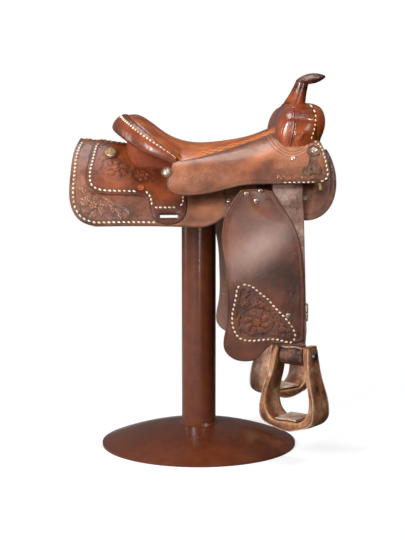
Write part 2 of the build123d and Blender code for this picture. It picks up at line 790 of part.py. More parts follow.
def make_leathers(fork_form, roll_form):
    """The draped leather of the left side."""
    skirt_runs = chain_runs(skirt_rear_shares, skirt_bottom_shares, skirt_rise_shares, skirt_hidden_shares,
                            skirt_front_shares, skirt_top_shares)
    jockey_runs = chain_runs(rear_jockey_rear_shares, rear_jockey_step_shares, rear_jockey_neck_shares,
                             rear_jockey_top_shares)
    seat_runs = chain_runs(seat_jockey_rear_shares, seat_jockey_bottom_shares, seat_jockey_front_shares,
                           seat_jockey_top_shares)
    level = lining_level_share
    lining_runs = [[(a * lining_share, level + (b - level) * lining_share) for a,
                    b in run] for run in skirt_runs]
    slot_x, slot_z = spot(slot_share)
    slot = block((slot_x - slot_length / 2, 0, slot_z - slot_height / 2),
                 (slot_x + slot_length / 2, saddle_half, slot_z + slot_height / 2))
    channel = block((channel_rear_x, -overrun, 0), (saddle_half, bracket_width / 2 + channel_clear,
                                                    4 * saddle_half))
    hidden = block((hidden_rear_x, 0, hidden_foot), (bar_front_x, saddle_half,
                                                     2 * saddle_half + skirt_foot))
    reach = -drape_reach, drape_reach
    skirt = drape_shell(skirt_form, *reach, -skirt_thickness, skirt_thickness) & side_prism(skirt_runs)
    lining = drape_shell(skirt_form, *reach, -skirt_thickness - layer_gap - lining_thickness,
                         lining_thickness) & side_prism(lining_runs)
    jockey = drape_shell(skirt_form, *reach, layer_gap, jockey_thickness) & side_prism(jockey_runs)
    rigging = drape_shell(skirt_form, *reach, layer_gap,
                          jockey_thickness) & side_prism(polygon_runs(rigging_shares))
    seat_jockey = drape_shell(jockey_form, jockey_rear_x, jockey_front_x, -jockey_thickness,
                              jockey_thickness, jockey_stations) & side_prism(seat_runs)
    seat_jockey = seat_jockey - fork_form - roll_form
    keeper = drape_shell(jockey_form, jockey_rear_x, jockey_front_x, layer_gap, keeper_thickness,
                         jockey_stations) & side_prism(polygon_runs(keeper_shares))
    return {
        "skirt": skirt - slot - channel,
        "skirt_lining": lining - slot - channel,
        "rear_jockey": jockey - slot - channel - hidden,
        "rigging_strap": rigging,
        "seat_jockey": seat_jockey,
        "leather_keeper": keeper,
    }


def swing_shell(lift, thickness):
    """A sheet turned about the swing line, dished in towards it."""
    rise = swing_plane - swing_inner_plane
    def way(level, back):
        start = (swing_x, level, swing_z)
        dish_a = (swing_x + dish_start, level, swing_z)
        dish_b = (swing_x + dish_end, level + rise, swing_z)
        end = (swing_x + swing_reach, level + rise, swing_z)
        tangent = (-1, 0, 0) if back else (1, 0, 0)
        bend = [dish_b, dish_a] if back else [dish_a, dish_b]
        parts = [Line(start, dish_a), Spline(*bend, tangents=[tangent, tangent]), Line(dish_b, end)]
        return parts, start, end
    low, low_start, low_end = way(swing_inner_plane + lift, False)
    high, high_start, high_end = way(swing_inner_plane + lift + thickness, True)
    edges = [*low, Line(low_end, high_end), *high, Line(high_start, low_start)]
    return revolve(Face(Wire(edges)), Axis((swing_x, 0, swing_z), (0, 1, 0)), 360)


def flat_prism(points):
    """A block across the saddle from side-view points."""
    corners = [(x, 0, z) for x, z in points]
    return extrude(make_face(Polyline(*corners, close=True)), amount=saddle_half, dir=(0, 1, 0))


# The stirrup's own frame: along its bolt, square to it, and up
stirrup_frame = Plane(origin=(stirrup_x, stirrup_plane, 0), x_dir=(cos(radians(stirrup_turn)),
                      sin(radians(stirrup_turn)), 0), z_dir=(0, 0, 1))
stirrup_gap = stirrup_top_width - 2 * stirrup_band
roll_radius = roller_diameter / 2
wrap_inner = roll_radius + run_gap


def make_leather():
    """The stirrup leather: a loop over the bar, a riveted wing and two leaves down to the stirrup's roller."""
    half = leather_width / 2
    thick = leather_thickness
    outer_y = swing_inner_plane
    depth = loop_depth
    height = 2 * (loop_half_height + thick)
    hole_depth = depth - 2 * thick
    plane = Plane(origin=(swing_x - half, outer_y - depth / 2, swing_z), x_dir=(0, 1, 0), z_dir=(1, 0, 0))
    ring = plane * extrude(RectangleRounded(depth, height, loop_bend) -
                           RectangleRounded(hole_depth, 2 * loop_half_height, loop_bend - thick),
                           amount=leather_width)
    neck_z = swing_z - loop_half_height - thick / 2
    wrap_half = stirrup_gap / 2 - wrap_side_gap
    shoulder = leather_foot_z + leather_taper
    strap = swing_shell(-2 * thick, 2 * thick) & flat_prism([
        (swing_x - half, neck_z), (swing_x + half, neck_z), (leather_foot_x + half, shoulder),
        (leather_foot_x + wrap_half, leather_foot_z), (leather_foot_x - wrap_half, leather_foot_z),
        (leather_foot_x - half, shoulder)])
    wing = swing_shell(-thick, thick) & flat_prism([
        spot(share) for share in wing_shares])
    wrap_outer = wrap_inner + wrap_wall
    foot_z = bolt_z + roll_radius / 2
    top = Plane(origin=(leather_foot_x, swing_plane - thick, leather_foot_z)) * Rectangle(2 * wrap_half,
                                                                                          2 * thick)
    low = Plane(origin=(stirrup_x, stirrup_plane, foot_z), x_dir=stirrup_frame.x_dir, z_dir=(0, 0,
            1)) * Rectangle(
        2 * wrap_half, 2 * thick)
    twist = Solid.make_loft([top.faces()[0].outer_wire(), low.faces()[0].outer_wire()], True)
    start = stirrup_frame.from_local_coords((-wrap_half, 0, bolt_z))
    end = stirrup_frame.from_local_coords((wrap_half, 0, bolt_z))
    far = wrap_half + overrun
    bore = rod(wrap_inner, stirrup_frame.from_local_coords((-far, 0, bolt_z)),
               stirrup_frame.from_local_coords((far, 0, bolt_z)))
    return ring + strap + wing + (twist - bore) + (rod(wrap_outer, start, end) - bore)


def stirrup_line(band, foot_share):
    """Half the stirrup's line in its own plane, from the top of the arm to the middle of the tread."""
    half_top = stirrup_top_width / 2
    half_foot = stirrup_foot_width / 2
    rise = stirrup_top_z - stirrup_foot_z
    foot = stirrup_foot_z + foot_share
    points = []
    for across, up in stirrup_outer_shares[:-1]:
        half = half_top + (half_foot - half_top) * across - band
        points.append((half, foot + up * (stirrup_top_z - foot)))
    points.append((half_foot * tread_knee_share,
                   foot + (stirrup_outer_shares[-1][1] * rise if not band else 0)))
    points.append((0.0, foot))
    return points


def mirrored_line(points):
    return points + [(-u, z) for u, z in reversed(points[:-1])]


def make_stirrup():
    face_plane = Plane(origin=stirrup_frame.origin, x_dir=stirrup_frame.x_dir,
                       z_dir=(sin(radians(stirrup_turn)), -cos(radians(stirrup_turn)), 0))
    outer = mirrored_line(stirrup_line(0.0, 0.0))
    inner = mirrored_line(stirrup_line(stirrup_band, tread_height))[::-1]
    face = make_face([Spline(*outer), Line(outer[-1], inner[0]), Spline(*inner), Line(inner[-1], outer[0])])
    wood = extrude(face_plane * face, amount=stirrup_foot_depth, both=True)
    side_plane = Plane(origin=stirrup_frame.origin, x_dir=face_plane.z_dir,
                       z_dir=(-cos(radians(stirrup_turn)), -sin(radians(stirrup_turn)), 0))
    top_half = stirrup_top_depth / 2
    foot_half = stirrup_foot_depth / 2
    knee = stirrup_foot_z + (stirrup_top_z - stirrup_foot_z) * stirrup_knee_share
    sides = make_face(Polyline(
        (-foot_half, stirrup_foot_z - overrun), (foot_half, stirrup_foot_z - overrun), (foot_half, knee),
        (top_half, stirrup_top_z + overrun), (-top_half, stirrup_top_z + overrun), (-foot_half, knee),
        close=True))
    wood &= extrude(side_plane * sides, amount=stirrup_foot_width, both=True)
    tread_z = stirrup_foot_z + tread_height + tread_cover_gap
    cover_width = stirrup_foot_width * tread_cover_share
    cover = stirrup_frame * Pos(0, 0, tread_z) * Box(
        cover_width, stirrup_foot_depth, tread_cover_thickness, align=(Align.CENTER, Align.CENTER,
                                                                       Align.MIN))
    arm = stirrup_line(0.0, 0.0)[1][0] + layer_gap
    nut = arm + bolt_nut_height
    def across(radius, first, last):
        return rod(radius, stirrup_frame.from_local_coords((first, 0, bolt_z)),
                   stirrup_frame.from_local_coords((last, 0, bolt_z)))
    shank = stirrup_bolt_diameter / 2
    bolt = across(shank, -nut, nut) + across(bolt_nut_diameter / 2, -nut, -arm)
    bolt += across(bolt_nut_diameter / 2, arm, nut)
    wood -= across(shank + fit_gap, -nut, nut)
    half_gap = stirrup_gap / 2 - fit_gap
    roller = across(roll_radius, -half_gap, half_gap) - across(shank + fit_gap, -half_gap, half_gap)
    return {"stirrup": wood, "stirrup_tread_cover": cover, "stirrup_bolt": bolt, "stirrup_roller": roller}


def make_fender():
    runs = [fender_left_shares, fender_foot_shares, fender_base_shares, fender_right_shares,
            fender_shoulder_shares, fender_top_shares]
    fender = swing_shell(layer_gap, fender_thickness) & side_prism(runs, 0.0)
    rivets = []
    for share in [*fender_rivet_shares, brass_rivet_share]:
        x, z = spot(share)
        radius = rivet_diameter / 2
        dish = smooth(dish_start, dish_end, hypot(x - swing_x, z - swing_z) + radius)
        foot = swing_inner_plane + (swing_plane - swing_inner_plane) * dish + fender_thickness + 2 * layer_gap
        rivets.append(rod(radius, (x, foot, z), (x, foot + rivet_height, z)))
    x, z = spot(buckle_share)
    outline = RectangleRounded(buckle_width, buckle_height, buckle_wire + fit_gap)
    outline -= RectangleRounded(buckle_width - 2 * buckle_wire, buckle_height - 2 * buckle_wire,
                                buckle_wire)
    outline += Rectangle(buckle_width, buckle_wire)
    foot = swing_plane - 2 * leather_thickness - layer_gap
    buckle = Plane(origin=(x, foot, z), x_dir=(1, 0, 0), z_dir=(0, -1, 0)) * extrude(outline,
                                                                                     amount=buckle_wire)
    return {"fender": fender, "fender_rivets": Compound(children=rivets), "leather_buckle": buckle}


def drape_plane(form, share, lift):
    """A plane on a draped form at a side-view place, facing out."""
    x, z = spot(share)
    along = drape_share_at(form, x, z, lift)
    y, z = drape_point(form, x, along, lift)
    ahead = Vector(x + layer_gap, *drape_point(form, x + layer_gap, along, lift))
    behind = Vector(x - layer_gap, *drape_point(form, x - layer_gap, along, lift))
    y_far, z_far = drape_point(form, x, along, lift + overrun)
    out = Vector(0, y_far - y, z_far - z)
    way = ahead - behind
    across = out.cross(way)
    return Plane(origin=(x, y, z), x_dir=way, z_dir=way.cross(across))


def disc(plane, diameter, height, lift=0.0):
    return plane * Pos(0, 0, lift) * Cylinder(diameter / 2, height, align=(Align.CENTER, Align.CENTER,
                                                                           Align.MIN))


def make_trim():
    """Conchos, rosettes, buttons, nails and strings of the left side."""
    top = layer_gap + jockey_thickness + layer_gap
    rear = drape_plane(jockey_form, silver_rear_share, drape_gap)
    front = drape_plane(jockey_form, silver_front_share, 2 * layer_gap + keeper_thickness)
    berry = drape_plane(skirt_form, berry_share, top)
    button = drape_plane(skirt_form, button_share, top)
    rosettes = [disc(rear, rosette_diameter, rosette_height), disc(front, front_rosette_diameter,
                                                                   rosette_height),
                disc(berry, berry_rosette_diameter, rosette_height)]
    lift = rosette_height + fit_gap
    silver = [disc(rear, silver_diameter, silver_height, lift), disc(front, silver_diameter, silver_height,
                                                                     lift)]
    berry_radius = berry_diameter / 2
    sphere = (berry_radius ** 2 + berry_height ** 2) / (2 * berry_height)
    dome = Pos(0, 0, berry_height - sphere) * Sphere(sphere)
    dome &= Cylinder(berry_diameter, berry_height, align=(Align.CENTER, Align.CENTER, Align.MIN))
    nails = []
    for form, share, level in ((jockey_form, screw_share, drape_gap), (skirt_form, nail_share, top),
                               (skirt_form, brass_screw_share, layer_gap)):
        nails.append(disc(drape_plane(form, share, level), nail_diameter, nail_height))
    string = drape_plane(skirt_form, string_share, layer_gap) * Box(
        string_width, string_length, string_thickness, align=(Align.CENTER, Align.CENTER, Align.MIN))
    return {
        "leather_rosettes": Compound(children=rosettes),
        "silver_conchos": Compound(children=silver),
        "berry_conchos": berry * Pos(0, 0, lift) * dome,
        "leather_buttons": disc(button, button_diameter, button_height),
        "saddle_nails": Compound(children=nails),
        "saddle_strings": string,
    }


def main():
    nodes = dict(make_stand())
    nodes.update(make_bracket())
    seat_form = seat_layer(rim_start_x, seat_front_x, 0.0, seat_thickness, seat_edge)
    fork_cut = fork_solid(-layer_gap)
    leather_top = layer_gap + jockey_thickness
    bar_cut = under_drape(leather_top + layer_gap + bar_thickness + drape_gap)
    roll_cut = make_roll(layer_gap)
    left = {"tree_bar": make_bar(), "stirrup_leather": make_leather()}
    left.update(make_leathers(fork_cut, roll_cut))
    left.update(make_fender())
    left.update(make_stirrup())
    trim = make_trim()
    trim["leather_keepers"] = left.pop("leather_keeper")
    nodes["seat"] = seat_form - fork_cut - roll_cut
    ground_top = seat_thickness + ground_seat_gap
    ground_seat = seat_layer(ground_seat_rear_x, ground_seat_front_x, ground_top,
                             ground_top + ground_seat_thickness, seat_edge, ground_seat_share)
    room = bracket_width / 2
    middle = block((-saddle_half, -room, skirt_foot), (saddle_half, room, skirt_foot + 2 * saddle_half))
    nodes["ground_seat"] = ground_seat - (bar_cut - middle)
    nodes["cantle_roll"] = make_roll()
    nodes.update(make_cantle(under_drape(leather_top + drape_gap), roll_cut))
    nodes.update(make_fork(bar_cut))
    nodes.update(make_horn())
    for name, shape in left.items():
        nodes[name + "_left"] = shape
        nodes[name + "_right"] = mirror(shape, about=Plane.XZ)
    for name, shape in trim.items():
        nodes[name] = Compound(children=[shape, mirror(shape, about=Plane.XZ)])
    os.makedirs("parts", exist_ok=True)
    for name, shape in nodes.items():
        export_step(shape, "parts/" + name + ".step")


main()
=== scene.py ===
import bpy
import numpy as np
from math import cos, hypot, pi, radians, sin, sqrt
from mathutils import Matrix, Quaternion, Vector
from mathutils.bvhtree import BVHTree
from mathutils.geometry import delaunay_2d_cdt


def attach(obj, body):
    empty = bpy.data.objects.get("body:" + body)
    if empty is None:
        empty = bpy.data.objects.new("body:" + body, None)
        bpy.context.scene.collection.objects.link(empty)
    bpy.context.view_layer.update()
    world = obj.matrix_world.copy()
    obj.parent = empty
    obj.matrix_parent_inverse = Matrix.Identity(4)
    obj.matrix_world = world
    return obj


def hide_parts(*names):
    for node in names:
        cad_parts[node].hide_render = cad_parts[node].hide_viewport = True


# A western saddle on a steel pedestal. The CAD nodes give the frame; the leather is rebuilt here.
# Working lengths are millimetres in the shared frame and become metres when a mesh is made. The left side
# (+y) is built and mirrored. Side-view points are (x, z); a sheet is cut flat, as (x, arc down from its
# inner edge) or as side-view points, and a place function lays it on its form.

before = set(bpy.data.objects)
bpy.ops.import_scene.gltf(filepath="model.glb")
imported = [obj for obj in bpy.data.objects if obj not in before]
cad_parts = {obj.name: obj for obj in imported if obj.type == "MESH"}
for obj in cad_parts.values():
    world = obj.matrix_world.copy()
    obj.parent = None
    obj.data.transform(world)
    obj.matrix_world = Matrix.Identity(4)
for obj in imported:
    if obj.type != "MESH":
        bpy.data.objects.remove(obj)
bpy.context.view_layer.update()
scene = bpy.context.scene
scene.view_settings.view_transform = "Standard"
MM = 0.001
HALF = 340.0  # half the saddle's length, a share of 1 along x
FOOT_Z = 590.0  # the height of a share of 0
TALL = 200.0  # the height between the shares 0 and 1
SKIRT_HALF = 186.0
SEAT_BACK = -49.0  # where the seat's round back begins
BACK_DEEP = 133.0
SEAM_HALF = 165.0
SEAM_Z = 758.0
BACK_SLOPE = 0.788
SEAM_END = 190.0
SWING = (214.0, 715.0)  # the line that the stirrup leathers swing about
SHEET_Y = 186.3
DISH = 10.7
PIVOT = np.array([233.0, 193.0, 272.0])  # the middle of the stirrup's bolt
TURN = radians(37)  # how far the stirrup is turned out of the side view


# Curves and forms
def cubic(t, p, s):
    """A natural cubic through rows p at t, read at s."""
    n = len(p)
    h = np.diff(t)
    a = np.zeros((n, n))
    a[0, 0] = a[-1, -1] = 1.0
    r = np.zeros(p.shape)
    for i in range(1, n - 1):
        a[i, i - 1], a[i, i], a[i, i + 1] = h[i - 1], 2 * (h[i - 1] + h[i]), h[i]
        r[i] = 3 * ((p[i + 1] - p[i]) / h[i] - (p[i] - p[i - 1]) / h[i - 1])
    c = np.linalg.solve(a, r)
    b = (p[1:] - p[:-1]) / h[:, None] - h[:, None] * (2 * c[:-1] + c[1:]) / 3
    d = (c[1:] - c[:-1]) / (3 * h[:, None])
    i = np.clip(np.searchsorted(t, s, side="right") - 1, 0, n - 2)
    u = (s - t[i])[:, None]
    return p[i] + b[i] * u + c[i] * u ** 2 + d[i] * u ** 3


def spline(points, step=3.0):
    """A natural cubic through points, or a line through two, sampled about every step."""
    p = np.array(points, float)
    t = np.concatenate([[0.0], np.cumsum(np.linalg.norm(np.diff(p, axis=0), axis=1))])
    s = np.linspace(0.0, t[-1], max(2, int(t[-1] / step) + 1))
    if len(p) == 2:
        return p[0] + (p[1] - p[0]) * (s / t[-1])[:, None]
    return cubic(t, p, s)


def smooth(low, high, value):
    t = np.clip((value - low) / (high - low), 0.0, 1.0)
    return t * t * (3 - 2 * t)


def bell(value, at, width):
    return np.exp(-((value - at) / width) ** 2)


def turns(count):
    return np.linspace(0, 2 * pi, count, endpoint=False)


def signed(value, power):
    return np.sign(value) * np.abs(value) ** power


def spots(shares):
    return [(HALF * a, FOOT_Z + TALL * b) for a, b in shares]


def skirt_form(x):
    """Centre, half width, foot, rise and power of the skirt's section at x."""
    x = np.asarray(x, float)
    return 0 * x, SKIRT_HALF + 0 * x, 588 + 0 * x, 184 + x * x / 2780, 1.5


def seam_half(x):
    return SEAM_HALF - 89 * smooth(SEAT_BACK, SEAM_END, x)


def seam_height(x):
    run = np.clip(x, SEAT_BACK, SEAM_END) - SEAT_BACK
    return SEAM_Z + 0.16 * run + run * run / 2222


def jockey_form(x):
    x = np.asarray(x, float)
    foot = 666 + 24 * smooth(SEAT_BACK, 100, x)
    inner = seam_half(x) + 0.9
    return inner, 211 - inner, foot, seam_height(x) - foot, 2.0


def drape(form, x, share, lift):
    centre, half, foot, rise, power = form(x)
    share = np.clip(share, 0.0, 1.0)
    up = (1 - share ** power) ** (1 / power)
    ny = share ** (power - 1) / half
    nz = up ** (power - 1) / rise
    size = np.hypot(ny, nz)
    return centre + share * half + lift * ny / size, foot + up * rise + lift * nz / size


class Drape:
    """The side panels' surface, flattened to x and the arc down from its inner edge."""
    x_step = 5.0
    arc_step = 2.0
    arc_end = 420.0

    def __init__(self, form, first, last):
        self.form = form
        self.xs = np.arange(first, last + 1, self.x_step)
        self.arcs = np.arange(0.0, self.arc_end, self.arc_step)
        self.steps = np.sin(np.linspace(0, pi / 2, 300))
        self.table = np.array([np.interp(self.arcs, self.length(x), self.steps) for x in self.xs])

    def length(self, x):
        y, z = drape(self.form, x, self.steps, 0.0)
        return np.concatenate([[0.0], np.cumsum(np.hypot(np.diff(y), np.diff(z)))])

    def share(self, x, a):
        i = np.clip((x - self.xs[0]) / self.x_step, 0, len(self.xs) - 1.001)
        j = np.clip(a / self.arc_step, 0, len(self.arcs) - 1.001)
        i0, j0 = i.astype(int), j.astype(int)
        fi, fj = i - i0, j - j0
        t = self.table
        return ((t[i0, j0] * (1 - fj) + t[i0, j0 + 1] * fj) * (1 - fi)
                + (t[i0 + 1, j0] * (1 - fj) + t[i0 + 1, j0 + 1] * fj) * fi)

    def flat(self, points, lift=0.0):
        """Side-view points as x and arc."""
        out = []
        for x, z in points:
            ys, zs = drape(self.form, x, self.steps, lift)
            share = np.interp(-z, -zs, self.steps)
            out.append((x, np.interp(share, self.steps, self.length(x))))
        return np.array(out)

    def place(self, p, lift):
        x = p[:, 0]
        y, z = drape(self.form, x, self.share(x, p[:, 1]), lift)
        return np.stack([x, y, z], axis=1)


skirt_drape = Drape(skirt_form, -380, 380)
jockey_drape = Drape(jockey_form, -110, 340)


def dished(r):
    """How far out the hanging leathers are, by their distance from the swing line."""
    return SHEET_Y + DISH * smooth(52, 116, r)


def swing_place(p, lift):
    """The hanging side's sheet: side-view points, dished in towards the swing line."""
    y = dished(np.hypot(p[:, 0] - SWING[0], p[:, 1] - SWING[1]))
    return np.stack([p[:, 0], y + lift, p[:, 1]], axis=1)


# Mesh makers
def add_mesh(name, verts, faces, material, body, nodes=(), attributes=None, smooth_faces=True):
    mesh = bpy.data.meshes.new(name)
    mesh.from_pydata((np.asarray(verts) * MM).tolist(), [], [list(map(int, f)) for f in faces])
    mesh.materials.append(material)
    if smooth_faces:
        mesh.polygons.foreach_set("use_smooth", [True] * len(mesh.polygons))
    for key, values in (attributes or {}).items():
        values = np.asarray(values, dtype=np.float32)
        mesh.attributes.new(key, "FLOAT", "POINT").data.foreach_set("value", values)
    mesh.update()
    obj = bpy.data.objects.new(name, mesh)
    scene.collection.objects.link(obj)
    if nodes:
        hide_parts(*nodes)
    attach(obj, body)
    return obj


def mirrored_part(part):
    v, f = part
    return np.asarray(v, float) * (1, -1, 1), [tuple(face)[::-1] for face in f]


def both(name, part, material, bodies, nodes=(), attributes=None):
    """The piece on the left and its mirror on the right. Names that end in an underscore take the side."""
    for side, (v, f) in (("left", part), ("right", mirrored_part(part))):
        body, *names = [n + side if n.endswith("_") else n for n in (bodies, *nodes)]
        add_mesh(name + "_" + side, v, f, material, body, names, attributes)


def grid_faces(nu, nv, close_u=False, close_v=False, offset=0):
    faces = []
    for i in range(nu if close_u else nu - 1):
        for j in range(nv if close_v else nv - 1):
            a, b = offset + i * nv, offset + (i + 1) % nu * nv
            c, d = j, (j + 1) % nv
            faces.append((a + c, b + c, b + d, a + d))
    return faces


def barrel(rings, caps=1):
    """Vertices and faces of a closed form through rings of points."""
    rings = np.asarray(rings, float)
    n, m = rings.shape[:2]
    ends = [tuple(range(m))[::-caps], tuple((n - 1) * m + k for k in range(m))[::caps]]
    return rings.reshape(-1, 3), grid_faces(n, m, close_v=True) + ends


def slab_faces(nu, nv):
    """Faces of a closed slab between an upper grid and a lower one."""
    n = nu * nv
    faces = grid_faces(nu, nv) + [f[::-1] for f in grid_faces(nu, nv, offset=n)]
    for i in range(nu - 1):
        a, b = i * nv, (i + 1) * nv
        c, d = a + nv - 1, b + nv - 1
        faces += [(a, n + a, n + b, b), (c, d, n + d, n + c)]
    for j in range(nv - 1):
        k = (nu - 1) * nv + j
        faces += [(j, j + 1, n + j + 1, n + j), (k, n + k, n + k + 1, k + 1)]
    return faces


def tube(path, radius, sides=8, flat=1.0):
    """A closed round or oval bar along a path."""
    path = np.asarray(path, float)
    way = np.gradient(path, axis=0)
    way /= np.linalg.norm(way, axis=1)[:, None]
    out = np.cross(way, (0.0, 0.0, 1.0))
    out /= np.maximum(np.linalg.norm(out, axis=1), 1e-6)[:, None]
    top = np.cross(out, way)
    angle = turns(sides)
    return barrel(path[:, None] + radius * (np.cos(angle)[None, :, None] * out[:, None]
                                            + flat * np.sin(angle)[None, :, None] * top[:, None]))


def joined(parts):
    verts, faces, base = [], [], 0
    for v, f in parts:
        verts.append(np.asarray(v, float))
        faces += [tuple(int(k) + base for k in face) for face in f]
        base += len(v)
    return np.concatenate(verts), faces


def inside(p, poly):
    x, y = p[:, 0][:, None], p[:, 1][:, None]
    ax, ay = poly[:, 0][None], poly[:, 1][None]
    bx, by = np.roll(poly[:, 0], -1)[None], np.roll(poly[:, 1], -1)[None]
    cross = (ay > y) != (by > y)
    with np.errstate(divide="ignore", invalid="ignore"):
        hit = cross & (x < (bx - ax) * (y - ay) / (by - ay) + ax)
    return hit.sum(axis=1) % 2 == 1


def edge_distance(p, poly, closed=True):
    """Distance of points to an outline or a path."""
    a = poly if closed else poly[:-1]
    b = np.roll(poly, -1, axis=0) if closed else poly[1:]
    out = np.full(len(p), 1e9)
    for k in range(0, len(p), 4000):
        q = p[k:k + 4000][:, None]
        ab = (b - a)[None]
        t = np.clip(((q - a[None]) * ab).sum(-1) / np.maximum((ab ** 2).sum(-1), 1e-12), 0, 1)
        out[k:k + 4000] = np.sqrt(((q - a[None] - t[..., None] * ab) ** 2).sum(-1)).min(axis=1)
    return out


def offset_path(poly, distance, closed=True):
    """A path moved to its left, or a closed outline moved inwards."""
    if closed:
        way = np.roll(poly, -1, axis=0) - np.roll(poly, 1, axis=0)
        area = (poly[:, 0] * np.roll(poly[:, 1], -1) - poly[:, 1] * np.roll(poly[:, 0], -1)).sum()
    else:
        way = np.gradient(poly, axis=0)
        area = 1.0
    way = way / np.maximum(np.linalg.norm(way, axis=1), 1e-9)[:, None]
    normal = np.stack([-way[:, 1], way[:, 0]], axis=1) * (1 if area > 0 else -1)
    return poly + normal * distance


def hex_grid(low, high, step):
    xs = np.arange(low[0], high[0] + step, step)
    ys = np.arange(low[1], high[1] + step, step * 0.866)
    gx, gy = np.meshgrid(xs, ys)
    gx = gx + (np.arange(len(ys)) % 2)[:, None] * step / 2
    return np.stack([gx.ravel(), gy.ravel()], axis=1)


def cut_sheet(outline, holes=(), spacing=4.0, rings=(), dense=()):
    """Triangles inside a flat outline, finer along rings inside its edge and in dense places."""
    outline = np.asarray(outline, float)
    keep = np.linalg.norm(outline - np.roll(outline, 1, axis=0), axis=1) > 0.4
    outline = outline[keep]
    low, high = outline.min(axis=0), outline.max(axis=0)
    loops = [outline] + [np.asarray(h, float) for h in holes]
    points = [hex_grid(low, high, spacing)]
    for centre, size, step in dense:
        fine = hex_grid(np.array(centre) - size, np.array(centre) + size, step)
        fine = fine[(((fine - centre) / size) ** 2).sum(axis=1) < 1.0]
        points[0] = points[0][(((points[0] - centre) / size) ** 2).sum(axis=1) > 1.0]
        points.append(fine)
    free = np.concatenate(points)
    far = max(rings) + 0.8 if len(rings) else 1.2
    dist = np.minimum.reduce([edge_distance(free, loop) for loop in loops])
    free = free[(dist > far) & inside(free, outline)]
    extra = []
    for loop in loops:
        sign = 1 if loop is outline else -1
        for r in rings:
            ring = offset_path(loop, sign * r)
            near = np.minimum.reduce([edge_distance(ring, other) for other in loops])
            extra.append(ring[near > r * 0.93])
    free = np.concatenate([free] + extra)
    for hole in loops[1:]:
        free = free[~inside(free, hole)]
    verts = np.concatenate(loops + [free])
    edges, base = [], 0
    for loop in loops:
        edges += [(base + i, base + (i + 1) % len(loop)) for i in range(len(loop))]
        base += len(loop)
    out = delaunay_2d_cdt([Vector(v) for v in verts.tolist()], edges, [], 1, 1e-5, False)
    p = np.array([tuple(v) for v in out[0]])
    faces = np.array([f for f in out[2] if len(f) == 3])
    middle = p[faces].mean(axis=1)
    ok = inside(middle, outline)
    for hole in loops[1:]:
        ok &= ~inside(middle, hole)
    faces = faces[ok]
    turn = np.cross(p[faces[:, 1]] - p[faces[:, 0]], p[faces[:, 2]] - p[faces[:, 0]])
    faces[turn < 0] = faces[turn < 0][:, ::-1]
    used = np.unique(faces)
    index = np.full(len(p), -1)
    index[used] = np.arange(len(used))
    p, faces = p[used], index[faces]
    d = np.minimum.reduce([edge_distance(p, loop) for loop in loops])
    return p, faces, d


def sheet_solid(p, faces, d, place, low, high, relief=None, round_share=0.42):
    """A leather sheet with rounded edges from a flat cut, and its vertex values."""
    thickness = high - low
    r = thickness * round_share
    t = np.clip(d / r, 0, 1)
    drop = r * (1 - np.sqrt(1 - (1 - t) ** 2))
    h, cav, tone = relief(p, d) if relief else (0 * d, 0 * d, 0 * d)
    top = place(p, high - drop + h)
    foot = place(p, low + drop)
    n = len(p)
    sides = {}
    for a, b, c in faces:
        for e in ((a, b), (b, c), (c, a)):
            sides[e] = sides.get(e, 0) + 1
    rim = [e for e in sides if (e[1], e[0]) not in sides]
    out = [tuple(f) for f in faces] + [tuple(n + k for k in f[::-1]) for f in faces]
    out += [(b, a, n + a, n + b) for a, b in rim]
    a, b, c = top[faces[0][0]], top[faces[0][1]], top[faces[0][2]]
    low_point = foot[faces[0][0]]
    if np.dot(np.cross(b - a, c - a), a - low_point) < 0:
        out = [f[::-1] for f in out]
    attributes = {"cav": np.concatenate([cav, 0 * d]), "tone": np.concatenate([tone, 0 * d - 0.3]),
                  "edge": np.concatenate([np.clip(1 - d / 2.5, 0, 1)] * 2)}
    return np.concatenate([top, foot]), out, attributes


def lozenges(path, place, lift, pitch, length, width, height, slant=0.35):
    """Raised lozenge stitches along a flat path."""
    path = np.asarray(path, float)
    run = np.concatenate([[0.0], np.cumsum(np.linalg.norm(np.diff(path, axis=0), axis=1))])
    sides = 12
    angle = turns(sides)
    along = signed(np.cos(angle), 1.15)[:, None] * length / 2
    across = signed(np.sin(angle), 1.15)[:, None] * width / 2
    faces = [(0, 1 + k, 1 + (k + 1) % sides) for k in range(sides)]
    faces += grid_faces(3, sides, close_v=True, offset=1)
    parts = []
    for s in np.arange(pitch / 2, run[-1] - pitch / 3, pitch):
        c, q = [np.array([np.interp(at, run, path[:, k]) for k in (0, 1)]) for at in (s, s + 0.5)]
        w = (q - c) / max(np.linalg.norm(q - c), 1e-9)
        m = np.array([-w[1], w[0]])
        pts = [c]
        lifts = [lift + height]
        for rho in (0.45, 0.8, 1.0):
            pts += list(c + rho * (along * w + across * (m + slant * w)))
            lifts += [lift + height * sqrt(max(0.0, 1 - rho ** 2)) - (0.35 if rho == 1.0 else 0.0)] * sides
        v = place(np.array(pts), np.array(lifts))
        a, b, c = v[:3]
        outwards = np.dot(np.cross(b - a, c - a), a - v[1:].mean(axis=0)) > 0
        parts.append((v, faces if outwards else [face[::-1] for face in faces]))
    return parts


# Carving
def local(p, centre, angle):
    q = p - np.asarray(centre)
    c, s = cos(angle), sin(angle)
    return q[:, 0] * c + q[:, 1] * s, -q[:, 0] * s + q[:, 1] * c


def leaf(p, base, angle, length, width, bend=0.0):
    """Height and inner share of one carved leaf with a vein and cut lobes."""
    u, v = local(p, base, angle)
    t = u / length
    v = v - bend * length * t * t
    lobe = 1 + 0.3 * np.sin(t * 22 + np.sign(v) * 0.9)
    w = width * np.clip(np.sin(pi * np.clip(t, 0, 1) ** 0.7), 0, 1) * lobe
    m = np.clip(1 - np.abs(v) / np.maximum(w, 1e-6), 0, 1) * ((t > 0) & (t < 1))
    h = np.sqrt(m) - 0.55 * bell(v, 0, 0.7) * (m > 0)
    ribs = 0.28 * np.abs(np.sin((t * length - np.abs(v) * 1.1) * 1.15)) * (m > 0)
    return h - ribs, m


